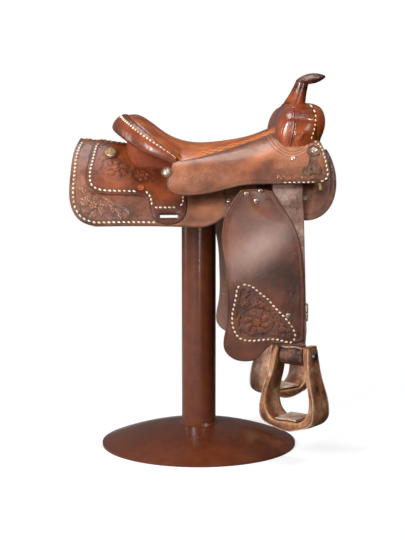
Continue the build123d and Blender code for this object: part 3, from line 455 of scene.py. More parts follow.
def rose(p, centre, radius, petals=6, turn=0.0):
    """A carved five or six petal flower with cut petals and a beaded heart."""
    q = p - np.asarray(centre)
    r = np.hypot(q[:, 0], q[:, 1]) / radius
    a = np.arctan2(q[:, 1], q[:, 0]) + turn
    lobe = np.abs(np.cos(a * petals / 2))
    rim = 0.66 + 0.34 * lobe ** 0.5
    m = np.clip((rim - r) / rim, 0, 1)
    h = np.sqrt(m) * (0.45 + 0.55 * lobe) * np.clip(r / 0.4, 0.25, 1)
    h += 0.9 * np.sqrt(np.clip(1 - (r / 0.24) ** 2, 0, 1))
    h -= 0.5 * bell(r, 0.29, 0.05) * (m > 0)
    h -= 0.35 * np.abs(np.sin(a * petals)) * ((r > 0.4) & (m > 0))
    return h, np.clip(m * (0.2 + 0.8 * lobe), 0, 1)


def scroll(p, centre, radius, turns, start, sense=1, width=2.2):
    """A spiral stem that winds in to its centre."""
    s = np.linspace(0, 1, 60)
    r = radius * (1 - s) ** 0.85
    a = start + sense * 2 * pi * turns * s
    path = np.stack([centre[0] + r * np.cos(a), centre[1] + r * np.sin(a)], axis=1)
    d = edge_distance(p, path, closed=False)
    m = np.clip(1 - d / width, 0, 1)
    return np.sqrt(m) * 0.85, m


def carve(motifs, border=None, depth=0.9, height=1.3, feather=2.0):
    """A relief for motifs on a sunk and stippled ground: height, dark cuts and worn tops."""
    def relief(p):
        h = np.zeros(len(p))
        m = np.zeros(len(p))
        for kind, args in motifs:
            hh, mm = kind(p, *args)
            better = (hh * height > h) | ((mm > 0) & (m == 0))
            h = np.where(better, hh * height, h)
            m = np.where(better, mm, m)
        area = np.ones(len(p))
        if border is not None:
            area = inside(p, border).astype(float) * np.clip(edge_distance(p, border) / feather, 0, 1)
        ground = (m <= 0) * area
        dots = 0.25 * np.sin(p[:, 0] * 2.6) * np.sin(p[:, 1] * 2.6)
        rim = bell(m, 0, 0.16) * (m > 0) * area
        h = np.where(m > 0, h, 0) * area - (depth + dots) * ground
        line = bell(m, 0.42, 0.16) * (m > 0)
        worn = (0.6 * line + 0.04) * area
        cut = rim * 0.95 + ground * 0.2 + 0.3 * np.clip((m - 0.65) / 0.3, 0, 1) * area
        return h, np.clip(cut, 0, 1), worn, m > 0
    return relief


def groove(d, at, width=0.8, depth=0.55):
    return depth * bell(d, at, width)


# Materials
def node(tree, kind, **values):
    n = tree.nodes.new(kind)
    for key, value in values.items():
        if key in n.inputs:
            n.inputs[key].default_value = value
        else:
            setattr(n, key, value)
    return n


def fill_in(tree, pairs):
    """Sets sockets to numbers or colours, or links them."""
    for socket, value in pairs:
        if isinstance(value, (int, float)):
            socket.default_value = value
        elif isinstance(value, tuple):
            socket.default_value = (*value, 1)
        else:
            tree.links.new(value, socket)


def band(tree, value, stops):
    n = tree.nodes.new("ShaderNodeValToRGB")
    e = n.color_ramp.elements
    while len(e) < len(stops):
        e.new(0.5)
    for k, (pos, col) in enumerate(stops):
        e[k].position = pos
        e[k].color = (*col, 1) if isinstance(col, tuple) else (col, col, col, 1)
    tree.links.new(value, n.inputs["Fac"])
    return n.outputs["Color"]


def mix(tree, a, b, factor, blend="MIX"):
    n = node(tree, "ShaderNodeMix", data_type="RGBA", blend_type=blend)
    fill_in(tree, ((n.inputs[6], a), (n.inputs[7], b), (n.inputs[0], factor)))
    return n.outputs[2]


def math(tree, op, a, b=0.5):
    n = node(tree, "ShaderNodeMath", operation=op)
    fill_in(tree, zip(n.inputs, (a, b)))
    return n.outputs[0]


def noise(tree, where, scale, detail=5.0, roughness=0.62, distortion=0.0):
    n = node(tree, "ShaderNodeTexNoise", Scale=scale, Detail=detail, Roughness=roughness,
             Distortion=distortion)
    tree.links.new(where, n.inputs["Vector"])
    return n.outputs["Fac"]


def span(tree, value, low, high, first, last):
    """A value from low to high mapped to first and last."""
    n = node(tree, "ShaderNodeMapRange",
             **{"From Min": low, "From Max": high, "To Min": first, "To Max": last})
    tree.links.new(value, n.inputs["Value"])
    return n.outputs["Result"]


def bumped(tree, height, strength, distance, normal=None):
    n = node(tree, "ShaderNodeBump", Strength=strength, Distance=distance)
    tree.links.new(height, n.inputs["Height"])
    if normal is not None:
        tree.links.new(normal, n.inputs["Normal"])
    return n.outputs["Normal"]


def blend_shaders(tree, factor, a, b):
    n = tree.nodes.new("ShaderNodeMixShader")
    for socket, value in zip(n.inputs, (factor, a.outputs[0], b.outputs[0])):
        tree.links.new(value, socket)
    return n


def blank(name):
    """A new material with its tree, its shader and the object's own coordinates."""
    m = bpy.data.materials.new(name)
    m.use_nodes = True
    t = m.node_tree
    return m, t, t.nodes["Principled BSDF"], t.nodes.new("ShaderNodeTexCoord").outputs["Object"]


def srgb(*c):
    return tuple((v / 255 / 12.92) if v <= 10 else ((v / 255 + 0.055) / 1.055) ** 2.4 for v in c)


def scaled(colour, *by):
    """A colour times one number or three, held under one."""
    return tuple(min(1.0, v * k) for v, k in zip(colour, by * (3 // len(by))))


def leather(name, dark, base, light, rough=(0.3, 0.52), coat=0.25, bump=0.5, mottle=8.0, wave=0.3,
            grime=0.6, burn=0.6):
    """Oiled leather: slow mottling, grime, creases, burnished cuts and edges, worn tops and a fine grain.

    Of the vertex values tone lightens towards a warm colour or, below zero, darkens: it holds the leather's
    own patches and, in places, painted highlights and painted shade. cav darkens cuts, edge burnishes the
    rim and the pale sheen value mixes in a pale colour: a painted highlight on the front of the fender, and
    the pale flesh side on its back.
    """
    m, t, bsdf, where = blank(name)
    dark, base, light = srgb(*dark), srgb(*base), srgb(*light)
    tone, bloom, cav, edge = [node(t, "ShaderNodeAttribute", attribute_name=key).outputs["Fac"]
                              for key in ("tone", "bloom", "cav", "edge")]
    col = band(t, noise(t, where, mottle, 6.0), [(0.33, dark), (0.48, base), (0.66, light)])
    patches = band(t, noise(t, where, mottle * 3.7, 8.0, 0.7, 0.6),
                   [(0.36, (0.5, 0.42, 0.38)), (0.52, 1), (0.72, (1.14, 1.1, 1.02))])
    col = mix(t, col, patches, grime, "MULTIPLY")
    flecks = band(t, noise(t, where, 230.0, 5.0, 0.75), [(0.36, (0.66, 0.6, 0.55)), (0.6, 1)])
    col = mix(t, col, flecks, 0.55, "MULTIPLY")
    thin = math(t, "ABSOLUTE", math(t, "SUBTRACT", noise(t, where, mottle * 5.0, 6.0, 0.6, 1.2), 0.5))
    crease = band(t, thin, [(0.0, 1), (0.012, 0)])
    col = mix(t, col, scaled(dark, 0.5), math(t, "MULTIPLY", crease, 0.35))
    lit = math(t, "MINIMUM", math(t, "MAXIMUM", tone, 0.0), 0.9)
    col = mix(t, col, scaled(light, 1.35, 1.15, 0.85), lit)
    col = mix(t, col, scaled(dark, 0.4), math(t, "MULTIPLY", math(t, "MINIMUM", tone, 0.0), -1.0))
    # Painted highlight: the pale sheen value puts a pale sheen on the fender's front; on its back, the
    # flesh side.
    wear_and_painted_sheen = math(t, "MULTIPLY", bloom, band(t, noise(t, where, 34.0, 6.0), [(0.3, 0.75), (0.6, 1)]))
    col = mix(t, col, srgb(206, 176, 164), wear_and_painted_sheen)
    col = mix(t, col, scaled(dark, 0.3), math(t, "MINIMUM", cav, 0.9))
    burnt = band(t, edge, [(0.0, 0), (0.45, 1), (0.8, 0.85), (0.97, 0.1)])
    col = mix(t, col, scaled(dark, 0.35), math(t, "MULTIPLY", burnt, burn))
    rim = math(t, "MULTIPLY", band(t, edge, [(0.84, 0), (0.98, 1)]), noise(t, where, 42.0, 4.0))
    col = mix(t, col, scaled(light, 1.25), rim)
    slow = bumped(t, noise(t, where, 17.0, 3.0, 0.5), wave, 0.006)
    skin = math(t, "ADD", noise(t, where, 150.0, 6.0, 0.72, 0.8),
                math(t, "MULTIPLY", noise(t, where, 520.0, 3.0), 0.5))
    skin = math(t, "SUBTRACT", skin, math(t, "MULTIPLY", crease, 0.7))
    wet = span(t, noise(t, where, 26.0, 6.0, 0.7, 1.0), 0.3, 0.7, *rough)
    values = {"Base Color": col, "Normal": bumped(t, skin, bump, 0.0011, slow), "Roughness": wet,
              "Coat Normal": slow, "Coat Weight": coat, "Coat Roughness": 0.16, "Specular IOR Level": 0.5}
    fill_in(t, ((bsdf.inputs[key], value) for key, value in values.items()))
    return m


def plain(name, colour, rough, dark=None, metallic=1.0, bump=0.1, scale=60.0, coat=0.0):
    """Metal, paint, wood or wool: two colours in a fine mottling, with a grain."""
    m, t, bsdf, where = blank(name)
    colour = srgb(*colour)
    dark = srgb(*dark) if dark else scaled(colour, 0.6)
    mottling = noise(t, where, scale, 5.0, 0.65)
    values = {"Base Color": band(t, mottling, [(0.4, dark), (0.65, colour)]), "Metallic": metallic,
              "Coat Weight": coat, "Roughness": span(t, mottling, 0.0, 1.0, *rough),
              "Normal": bumped(t, noise(t, where, 420.0, 3.0, 0.5), bump, 0.0004)}
    fill_in(t, ((bsdf.inputs[key], value) for key, value in values.items()))
    return m


panel_leather = leather("panel_leather", (56, 24, 11), (110, 48, 22), (158, 80, 40), coat=0.15)
# burn=1.0 burnishes the seat jockey's edges darker, which also paints the shadow line under its lower edge.
jockey_leather = leather("jockey_leather", (80, 42, 26), (138, 78, 50), (184, 118, 84), (0.28, 0.46),
                         coat=0.38, grime=0.35, burn=1.0)
skirt_leather = leather("skirt_leather", (62, 34, 24), (128, 76, 54), (180, 122, 92), coat=0.3)
cantle_leather = leather("cantle_leather", (84, 34, 12), (126, 52, 20), (152, 68, 28), (0.7, 0.85),
                         coat=0.0, wave=0.05, bump=0.3)
seat_leather = leather("seat_leather", (110, 50, 20), (170, 82, 34), (216, 128, 58), (0.28, 0.46), coat=0.3)
gloss_leather = leather("gloss_leather", (50, 18, 8), (122, 50, 22), (178, 88, 42), (0.22, 0.34), coat=0.6,
                        bump=0.14, wave=0.18)
cap_leather = leather("cap_leather", (54, 32, 24), (104, 62, 46), (150, 108, 88), (0.24, 0.42), coat=0.5,
                      bump=0.3, wave=0.2, mottle=22.0)
roll_leather = leather("roll_leather", (56, 22, 10), (108, 46, 20), (154, 76, 36), (0.24, 0.38), coat=0.35,
                       bump=0.25)
fender_leather = leather("fender_leather", (50, 23, 14), (94, 48, 30), (138, 78, 50), (0.3, 0.4), coat=0.3,
                         mottle=6.0, wave=0.06, burn=0.25)
strap_leather = leather("strap_leather", (82, 54, 45), (142, 104, 88), (200, 166, 150), (0.3, 0.5),
                        bump=1.0, coat=0.2)
rough_leather = leather("rough_leather", (58, 36, 24), (112, 74, 50), (160, 120, 88), (0.5, 0.8), bump=1.0,
                        coat=0.0, mottle=20.0)
wrap_leather = leather("wrap_leather", (48, 24, 16), (96, 54, 38), (146, 98, 76), (0.3, 0.5), bump=1.6,
                       mottle=24.0, coat=0.3, grime=0.9)
stirrup_skin = leather("stirrup_skin", (86, 44, 25), (170, 106, 68), (236, 184, 142), (0.32, 0.5), bump=1.0,
                       mottle=18.0, coat=0.15, grime=0.8)
tread_leather = leather("tread_leather", (176, 132, 104), (236, 198, 172), (255, 236, 216), (0.5, 0.75),
                        bump=1.6, mottle=26.0, coat=0.0, grime=0.8)
lace = leather("lace", (200, 170, 120), (244, 228, 190), (255, 252, 240), (0.45, 0.65), bump=0.3,
               mottle=34.0, coat=0.0, wave=0.0, grime=0.3)
gold_lace = leather("gold_lace", (160, 100, 34), (204, 148, 70), (236, 194, 112), (0.5, 0.7), bump=0.3,
                    mottle=30.0, coat=0.0, wave=0.0)
steel_paint = plain("steel_paint", (108, 53, 30), (0.2, 0.3), (96, 46, 26), 0.0, 0.12, 30.0, coat=0.25)
plain_steel = plain("plain_steel", (150, 150, 154), (0.3, 0.45), bump=0.2)
silver = plain("silver", (236, 228, 212), (0.25, 0.42), (140, 126, 108), 0.7, 0.3, 300.0)
brass = plain("brass", (232, 206, 160), (0.26, 0.42), (130, 96, 58), 0.65, 0.4, 260.0)
copper = plain("copper", (206, 122, 70), (0.3, 0.45), (120, 60, 34), 0.7, 0.3, 260.0)
wood = plain("bare_wood", (176, 134, 92), (0.55, 0.75), (140, 98, 62), 0.0, 0.3, 40.0)
fleece = plain("fleece", (214, 196, 160), (0.85, 0.95), (150, 128, 94), 0.0, 1.0, 120.0)

FINISHES = ((("base_", "column", "foot_", "swivel_lower", "swivel_upper", "saddle_bracket"), steel_paint),
            (("swivel_", "bracket_", "stirrup_bolt", "stirrup_roller", "ground_"), plain_steel),
            (("tree_", "horn_core"), wood),
            (("leather_buckle", "fender_rivets", "saddle_nails", "berry"), brass),
            (("silver",), silver), (("",), panel_leather))
for name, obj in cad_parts.items():
    obj.data.materials.clear()
    obj.data.materials.append(next(finish for starts, finish in FINISHES if name.startswith(starts)))


# Outlines in the side view, as shares of half the saddle's length and of the drape's height. Each run of an
# outline starts where the run before it ends.
SKIRT_RUNS = [
    [(-0.924, 0.985), (-0.956, 0.705), (-0.965, 0.475), (-0.947, 0.26), (-0.882, 0.105), (-0.77, 0.033)],
    [(-0.44, 0.036), (0.0, 0.015)],
    [(0.07, 0.045), (0.16, 0.13)],
    [(0.7, 0.11)],
    [(0.77, 0.098), (0.882, 0.155), (0.965, 0.315), (1.0, 0.52), (0.997, 0.72), (0.962, 0.915),
     (0.91, 1.06)],
    [(0.9, 1.4)], [(-0.84, 1.4)], [(-0.876, 1.12)]]
JOCKEY_RUNS = [
    [(-0.785, 1.01), (-0.821, 0.85), (-0.846, 0.62), (-0.832, 0.52), (-0.785, 0.445), (-0.69, 0.406)],
    [(-0.47, 0.396)],
    [(-0.395, 0.35), (-0.374, 0.22), (-0.35, 0.12), (-0.29, 0.062), (-0.22, 0.055), (-0.155, 0.095),
     (-0.117, 0.18), (-0.108, 0.33)],
    [(-0.108, 1.4)], [(-0.74, 1.4)], [(-0.745, 1.06)]]
SEAT_JOCKEY_RUNS = [
    [(-0.236, 0.7), (-0.25, 0.57), (-0.237, 0.49), (-0.19, 0.443), (-0.11, 0.422)],
    [(0.04, 0.447), (0.17, 0.498), (0.29, 0.545), (0.42, 0.562), (0.6, 0.565), (0.86, 0.575)],
    [(0.915, 0.61), (0.934, 0.68), (0.925, 0.79), (0.905, 0.92), (0.885, 1.04), (0.84, 1.14)],
    [(0.84, 1.5)], [(-0.19, 1.5)], [(-0.19, 0.9)]]
FENDER_RUNS = [
    [(0.206, 0.295), (0.159, 0.085), (0.147, -0.165), (0.171, -0.41), (0.185, -0.76), (0.182, -1.185),
     (0.163, -1.36)],
    [(0.165, -1.5), (0.232, -1.63), (0.33, -1.665), (0.406, -1.635), (0.462, -1.53), (0.52, -1.447)],
    [(0.615, -1.45), (0.75, -1.41)],
    [(0.753, -0.75), (0.729, -0.265)],
    [(0.676, 0.03), (0.6, 0.25), (0.515, 0.475)],
    [(0.4, 0.5), (0.285, 0.49)]]
RIGGING_RUNS = [[(0.17, 0.28)], [(0.19, 0.2)], [(0.3, 0.16)], [(0.42, 0.2)], [(0.42, 0.53)], [(0.17, 0.53)]]
WING_RUNS = [[(0.34, 0.47)], [(0.578, 0.43)], [(0.578, -0.1)], [(0.5, -0.1)], [(0.33, 0.24)], [(0.3, 0.44)]]
KEEPER_RUNS = [[(0.845, 0.94), (0.842, 0.83), (0.868, 0.73), (0.85, 0.675), (0.812, 0.69), (0.775, 0.66),
                (0.735, 0.68), (0.724, 0.715), (0.765, 0.79), (0.785, 0.87), (0.79, 0.94)]]
PATCH = [(101, 452), (124, 447), (145, 430), (165, 414), (182, 394), (199, 377), (218, 355), (232, 330),
         (233, 316), (228, 307), (199, 310), (156, 312), (124, 310), (96, 316), (81, 337), (76, 363),
         (79, 390), (85, 418), (87, 432), (90, 444), (101, 452)]


def side_outline(runs, step=2.5):
    out = []
    start = runs[-1][-1]
    for run in runs:
        out.append(spline(spots([start, *run]), step)[:-1])
        start = run[-1]
    return np.concatenate(out)


def dedupe(p, least=0.6):
    keep = [0]
    for i in range(1, len(p)):
        if np.linalg.norm(p[i] - p[keep[-1]]) > least:
            keep.append(i)
    if np.linalg.norm(p[keep[-1]] - p[keep[0]]) < least:
        keep.pop()
    return p[keep]


def clamp_top(p, open_x=-110.0, open_y=63.0):
    """Holds a skirt outline below the ridge, or outside the channel over the bracket."""
    share = open_y / SKIRT_HALF
    low = [np.interp(share, skirt_drape.steps, skirt_drape.length(x)) if x > open_x else 0.4
           for x in p[:, 0]]
    out = p.copy()
    out[:, 1] = np.maximum(p[:, 1], low)
    return out


def on_skirt(x, z):
    return skirt_drape.flat([(x, z)])[0]


def on_jockey(x, z):
    return jockey_drape.flat([(x, z)])[0]


def as_drawn(x, z):
    return x, z


def line_on(form, points):
    return form.flat(spline(points, 2.0))


def spray(centre, radius, count=7, turn=0.0, heart=0.42):
    """A flower with leaves and scrolls round it."""
    out = [(rose, (centre, radius * heart, 6, turn))]
    for k in range(count):
        a = turn + 2 * pi * k / count

        def at(share, ahead=0.0):
            return centre + radius * share * np.array([cos(a + ahead), sin(a + ahead)])
        out += [(leaf, (at(heart - 0.02), a + 0.5, radius * 0.66, radius * 0.16, 0.42)),
                (scroll, (at(0.84, 0.3), radius * 0.15, 1.3, a + 2.0, 1, 1.5)),
                (leaf, (at(0.62, 0.75), a + 1.9, radius * 0.34, radius * 0.09, -0.3))]
    return out


def stem_line(p, path, width):
    d = edge_distance(p, path, closed=False)
    m = np.clip(1 - d / width, 0, 1)
    return np.sqrt(m) * 0.75, m


def vine(points, size, flip=1, origin=(0, 0)):
    """Leaves to both sides of a stem."""
    stem = spline(np.array(points) + origin, 2.0)
    out = [(stem_line, (stem, 1.5))]
    run = np.linspace(0.06, 0.92, max(3, int(len(stem) * 2.0 / (size * 0.62))))
    for k, t in enumerate(run):
        i = int(t * (len(stem) - 2))
        w = stem[i + 1] - stem[i]
        side = 1 if (k + flip) % 2 else -1
        out.append((leaf, (stem[i], np.arctan2(w[1], w[0]) + side * 0.75, size, size * 0.24, -side * 0.25)))
    return out


def swell_wave(p, amount=0.5):
    """The slow unevenness of a large piece of leather."""
    x, y = p.T
    return amount * (np.sin(x / 31 + y / 47) * np.sin(y / 26 - x / 83)
                     + 0.6 * np.sin(x / 17 - y / 23) * np.sin(y / 14 + x / 41))


def blobs(p, at, *rows):
    """Soft patches of tone: a place, a size and an amount in each row."""
    return sum(amount * np.exp(-(((p - at(x, z)) / (wide, high)) ** 2).sum(axis=1))
               for x, z, wide, high, amount in rows)


def ring_line(p, centre, radius):
    return 0.7 * bell(np.hypot(*(p - centre).T), radius, 0.9)


def fine_at(centre, half_x, half_y, step):
    return centre, np.array([half_x, half_y], float), step


def slot_end(z, x0, x1):
    return spline([(x0, z), (x1, z)], 4).tolist()


stitches = {"saddle": [], "hanging_": []}
golden = []

# Skirt
skirt_cut = dedupe(clamp_top(skirt_drape.flat(side_outline(SKIRT_RUNS))))
slot_hole = skirt_drape.flat(slot_end(616.5, -102.6, -58.6) + slot_end(625.5, -58.6, -102.6))
corner = on_skirt(-262, 652)
corner_motifs = (spray(corner + (-6, 4), 34, 7, 0.3)
                 + vine([(20, -12), (44, 6), (66, 22), (84, 30)], 17, 1, corner)
                 + vine([(-28, -22), (-34, -48), (-22, -64)], 15, 1, corner)
                 + vine([(8, -30), (26, -40), (40, -34)], 14, 0, corner)
                 + [(rose, (corner + (36, -14), 10, 5, 0.4)), (rose, (corner + (-26, -46), 7, 5, 0.2))])
corner_area = spline([on_skirt(*at) for at in (
    (-308, 700), (-282, 690), (-258, 676), (-232, 662), (-200, 646), (-180, 626), (-190, 616), (-240, 611),
    (-284, 617), (-307, 640), (-308, 700))], 3.0)[:-1]
corner_carve = carve(corner_motifs, corner_area, depth=0.9, height=0.9)


def skirt_relief(p, d):
    h, cut, worn, _ = corner_carve(p)
    near = (p[:, 0] < -95) | (p[:, 0] > 230)
    lines = (groove(d, 4.6) + groove(d, 15.5)) * near + groove(d, 3.5) * (~near)
    # Painted light: a sheen low in the middle (10, 634) and a highlight down the rear edge (-318, 740).
    tone = blobs(p, on_skirt, (-240, 610, 40, 14, 0.28), (-80, 600, 70, 8, 0.3), (10, 634, 60, 24, 0.3),
                 (290, 650, 40, 30, -0.15), (-318, 740, 12, 60, 0.25))
    return h - lines + swell_wave(p), np.clip(cut + lines * 1.1, 0, 1), tone + worn


p, f, d = cut_sheet(skirt_cut, [slot_hole], 4.5, (0.7, 1.6, 3.8, 4.6, 5.4, 14.7, 15.5, 16.3),
                    [fine_at(corner, 50, 42, 1.5), fine_at(corner + (58, 18), 34, 16, 1.7),
                     fine_at(corner + (-26, -40), 16, 28, 1.8)])
*part, attr = sheet_solid(p, f, d, skirt_drape.place, -5.0, 0.0, skirt_relief)
both("skirt_panel", part, skirt_leather, "saddle", ("skirt_",), attr)
path = offset_path(skirt_cut, 9.8)
path = path[(path[:, 0] < -112) & (path[:, 1] > 26)]
stitches["saddle"] += lozenges(path, skirt_drape.place, 0.25, 12.4, 7.6, 5.4, 1.3)

# Woolskin under the skirt
drawn_in = [[(a * 0.985, 0.5 + (b - 0.5) * 0.985) for a, b in run] for run in SKIRT_RUNS]
wool_cut = dedupe(clamp_top(skirt_drape.flat(side_outline(drawn_in, 4.0))))
rng = np.random.default_rng(7)


def wool_relief(p, d):
    return rng.uniform(-0.3, 0.0, len(p)), 0 * d, rng.uniform(-0.1, 0.1, len(p))


p, f, d = cut_sheet(wool_cut, [slot_hole], 5.0, (1.0,))
v, faces, attr = sheet_solid(p, f, d, skirt_drape.place, -9.3, -5.3, wool_relief)
v[len(p):] += rng.normal(0, 0.35, (len(p), 3)) * (d > 2)[:, None]
both("woolskin", (v, faces), fleece, "saddle", ("skirt_lining_",), attr)

# Rear jockey
side = side_outline(JOCKEY_RUNS)
side[(side[:, 0] > -66) & (side[:, 1] > 706), 0] = -66
jockey_cut = dedupe(clamp_top(skirt_drape.flat(side)))
medal = on_skirt(-212, 731)
ringed = on_skirt(-146, 716)
medal_carve = carve(spray(medal, 31, 7, 0.1) + spray(ringed, 17, 6, 0.5, 0.5)
                    + vine([(-30, -14), (-22, -26), (0, -30), (24, -22), (30, 0), (22, 22)], 13, 1, ringed)
                    + vine([(-34, 8), (-36, -20), (-20, -36)], 12, 0, medal), height=0.95)


def jockey_relief(p, d):
    h, cuts, worn, on = medal_carve(p)
    r = np.hypot(*(p - medal).T)
    r2 = np.hypot(*(p - ringed).T)
    area = np.maximum(np.clip((36 - r) / 2, 0, 1), np.clip((24 - r2) / 2, 0, 1))
    area = np.where(on, np.maximum(area, ((r < 52) | (r2 < 42)) * 1.0), area)
    rings = ring_line(p, medal, 38) + ring_line(p, medal, 35) * 0.6 + ring_line(p, ringed, 25)
    lines = (groove(d, 3.6) + groove(d, 16.5) * (p[:, 0] < -130)) * (p[:, 1] > 20)
    tone = blobs(p, on_skirt, (-168, 760, 38, 26, 0.5), (-92, 668, 24, 18, 0.35), (-262, 720, 20, 40, -0.2),
                 (-128, 690, 24, 14, 0.35), (-116, 760, 16, 12, 0.2))
    cut = np.clip(cuts * area + (rings + lines) * 0.9, 0, 1)
    return h * area - rings - lines + swell_wave(p), cut, tone + worn * area


p, f, d = cut_sheet(jockey_cut, [slot_hole], 4.5, (0.7, 1.6, 2.9, 3.6, 4.3, 15.8, 16.5, 17.2),
                    [fine_at(medal, 46, 46, 1.5), fine_at(ringed, 42, 42, 1.6)])
*part, attr = sheet_solid(p, f, d, skirt_drape.place, 0.3, 4.8, jockey_relief)
both("rear_jockey_panel", part, panel_leather, "saddle", ("rear_jockey_",), attr)
path = offset_path(jockey_cut, 10.5)
path = path[(path[:, 0] < -152) & (path[:, 1] > 22)]
stitches["saddle"] += lozenges(path, skirt_drape.place, 5.05, 12.2, 7.6, 5.4, 1.3)
for neck in ([(-139, 678), (-129, 669), (-124, 657), (-122, 647), (-117, 641)], [(-117, 640), (-58, 640)],
             [(-52, 642), (-46.5, 650), (-45, 667)]):
    stitches["saddle"] += lozenges(line_on(skirt_drape, neck), skirt_drape.place, 5.05, 11.0, 7.2, 5.0, 1.2)

# Seat jockey
seat_jockey_cut = jockey_drape.flat(side_outline(SEAT_JOCKEY_RUNS))
seat_jockey_cut[:, 1] = np.maximum(seat_jockey_cut[:, 1], 0.2)
seat_jockey_cut = dedupe(seat_jockey_cut)
tool = on_jockey(262, 727)
seat_jockey_carve = carve(spray(tool + (0, 2), 17, 6, 0.2)
                          + vine([(-20, 6), (-44, 10), (-74, 8)], 12, 1, tool)
                          + vine([(18, -4), (32, -14)], 10, 1, tool), height=0.8)
collar_line = jockey_drape.flat(spline([(168, 826), (177, 806), (187, 792), (201, 781), (219, 774),
                                        (240, 776), (256, 784), (268, 795), (274, 806)], 3.0))


def seat_jockey_relief(p, d):
    h, cuts, worn, _ = seat_jockey_carve(p)
    q = np.abs((p - (tool + (-22, 3))) / (66, 21))
    area = np.clip((1 - (q ** 2.5).sum(axis=1)) * 4, 0, 1)
    below = p[:, 1] >= 9
    lines = (groove(d, 3.4) + groove(d, 6.6) * 0.8 + groove(d, 9.4) * 0.6) * below
    collar = edge_distance(p, collar_line, closed=False)
    rolls = groove(collar, 0.0, 1.5, 0.9) + groove(collar, 8.0, 1.4, 0.7) - groove(collar, 4.0, 2.6, 0.8)
    tone = blobs(p, on_jockey, (150, 772, 38, 22, 0.6), (60, 770, 60, 20, 0.12), (0, 700, 60, 22, -0.12),
                 (-70, 690, 18, 26, 0.3), (10, 683, 80, 7, 0.22), (-60, 745, 16, 12, 0.4),
                 (282, 745, 22, 30, 0.22))
    tone = tone + 0.4 * bell(collar, 4, 2.2)
    wear_and_painted_sheen = groove(d, 5.0, 0.9, 1.0) + groove(d, 8.0, 0.7, 1.0)
    tone = tone + 0.5 * wear_and_painted_sheen * below * smooth(-20, -60, p[:, 0])
    cut = cuts * area + lines * 0.8 + np.clip(rolls, 0, 1)
    return h * area - lines + swell_wave(p, 0.4) - rolls, np.clip(cut, 0, 1), tone + worn * area


p, f, d = cut_sheet(seat_jockey_cut, (), 4.5, (0.7, 1.6, 2.8, 3.4, 4.0, 6.0, 6.6, 7.2, 9.4),
                    [fine_at(tool + (-22, 3), 68, 24, 1.6),
                     fine_at(collar_line.mean(axis=0) + (0, 4), 66, 34, 1.9)])
*part, attr = sheet_solid(p, f, d, jockey_drape.place, -4.5, 0.0, seat_jockey_relief)
both("seat_jockey_panel", part, jockey_leather, "saddle", ("seat_jockey_",), attr)
front = line_on(jockey_drape, [(283, 805), (291, 799), (297, 790), (301, 781), (303.5, 772), (305.5, 764),
                               (308, 750), (310, 737), (310.5, 728), (309, 719), (303, 712.5), (293, 709),
                               (283, 708)])
stitches["saddle"] += lozenges(front, jockey_drape.place, 0.3, 11.5, 7.4, 5.2, 1.3)
low = line_on(jockey_drape, [(280, 707.5), (235, 706.5), (190, 706.5)])
stitches["saddle"] += lozenges(low, jockey_drape.place, 0.3, 11.5, 7.0, 3.6, 1.0, 0.3)


# Rigging strap under the fender's rear edge, and the keeper under the front concho
def plain_relief(p, d):
    lines = groove(d, 3.2)
    return -lines, lines * 0.9, -0.15 + 0 * d


def keeper_relief(p, d):
    # Painted shade: the hole is darkened as the shade inside it, and the fold stripes as the shade of
    # folds.
    hole = np.exp(-(((p - on_jockey(270, 738)) / (3.0, 4.0)) ** 2).sum(axis=1))
    folds = 0.3 * np.abs(np.sin(p[:, 0] * 0.45 + p[:, 1] * 0.12))
    waves = 0.5 * np.sin(p[:, 0] * 0.5) * np.clip(d / 4, 0, 1)
    return waves - 0.3 - hole, np.clip(folds + hole, 0, 1), 0 * d


rig_sheet = cut_sheet(dedupe(skirt_drape.flat(side_outline(RIGGING_RUNS))), (), 5.0,
                      (0.7, 1.6, 2.5, 3.2, 3.9))
*part, attr = sheet_solid(*rig_sheet, skirt_drape.place, 0.3, 4.8, plain_relief)
both("rigging_panel", part, skirt_leather, "saddle", ("rigging_strap_",), attr)
keeper_sheet = cut_sheet(dedupe(jockey_drape.flat(side_outline(KEEPER_RUNS, 2.0))), (), 2.0, (0.6, 1.4))
*keeper, keeper_attr = sheet_solid(*keeper_sheet, jockey_drape.place, 0.3, 3.3, keeper_relief)

# Fender
patch_line = spline(PATCH, 2.0)[:-1]
heart = np.array([138.0, 356.0])
fender_motifs = spray(heart, 33, 8, 0.2)
for stem, size, flip in (
        ([(104, 392), (106, 412), (112, 430), (118, 438)], 14, 1),
        ([(128, 396), (142, 410), (152, 402), (168, 392)], 15, 0),
        ([(176, 362), (192, 352), (208, 338), (222, 322)], 15, 1), ([(180, 384), (196, 366)], 11, 0),
        ([(94, 376), (90, 352), (96, 330)], 12, 1), ([(172, 330), (192, 322), (214, 318)], 12, 0)):
    fender_motifs += vine(stem, size, flip)
fender_motifs += [(rose, ((112.0, 404.0), 9, 5, 0.3)), (rose, ((198.0, 338.0), 9, 5, 0.8)),
                  (rose, ((150.0, 398.0), 7, 5, 0.1))]
fender_carve = carve(fender_motifs, offset_path(patch_line, 9.0), depth=0.9, height=0.8)


def fender_relief(p, d):
    h, cuts, worn, _ = fender_carve(p)
    rings = (((p - heart) / (43, 36)) ** 2).sum(axis=1) ** 0.5
    patch = edge_distance(p, patch_line)
    within = inside(p, patch_line)
    ring = 0.6 * bell(rings * 36, 36, 1.0) * within
    lines = (groove(d, 6.0) + groove(d, 9.0) * 0.8) * (p[:, 1] > 300)
    lines = lines + groove(patch, 6.2, 0.8, 0.5) * within + groove(patch, 3.0, 0.8, 0.4) * (~within)
    tone = blobs(p, as_drawn, (84, 560, 16, 90, 0.15), (130, 640, 36, 26, 0.3), (150, 370, 70, 60, -0.12),
                 (120, 276, 60, 20, 0.22), (190, 460, 30, 40, -0.2))
    h = h - lines - ring + swell_wave(p, 0.15) * (~within)
    return h, np.clip(cuts + ring, 0, 1), tone + 0.45 * lines + worn


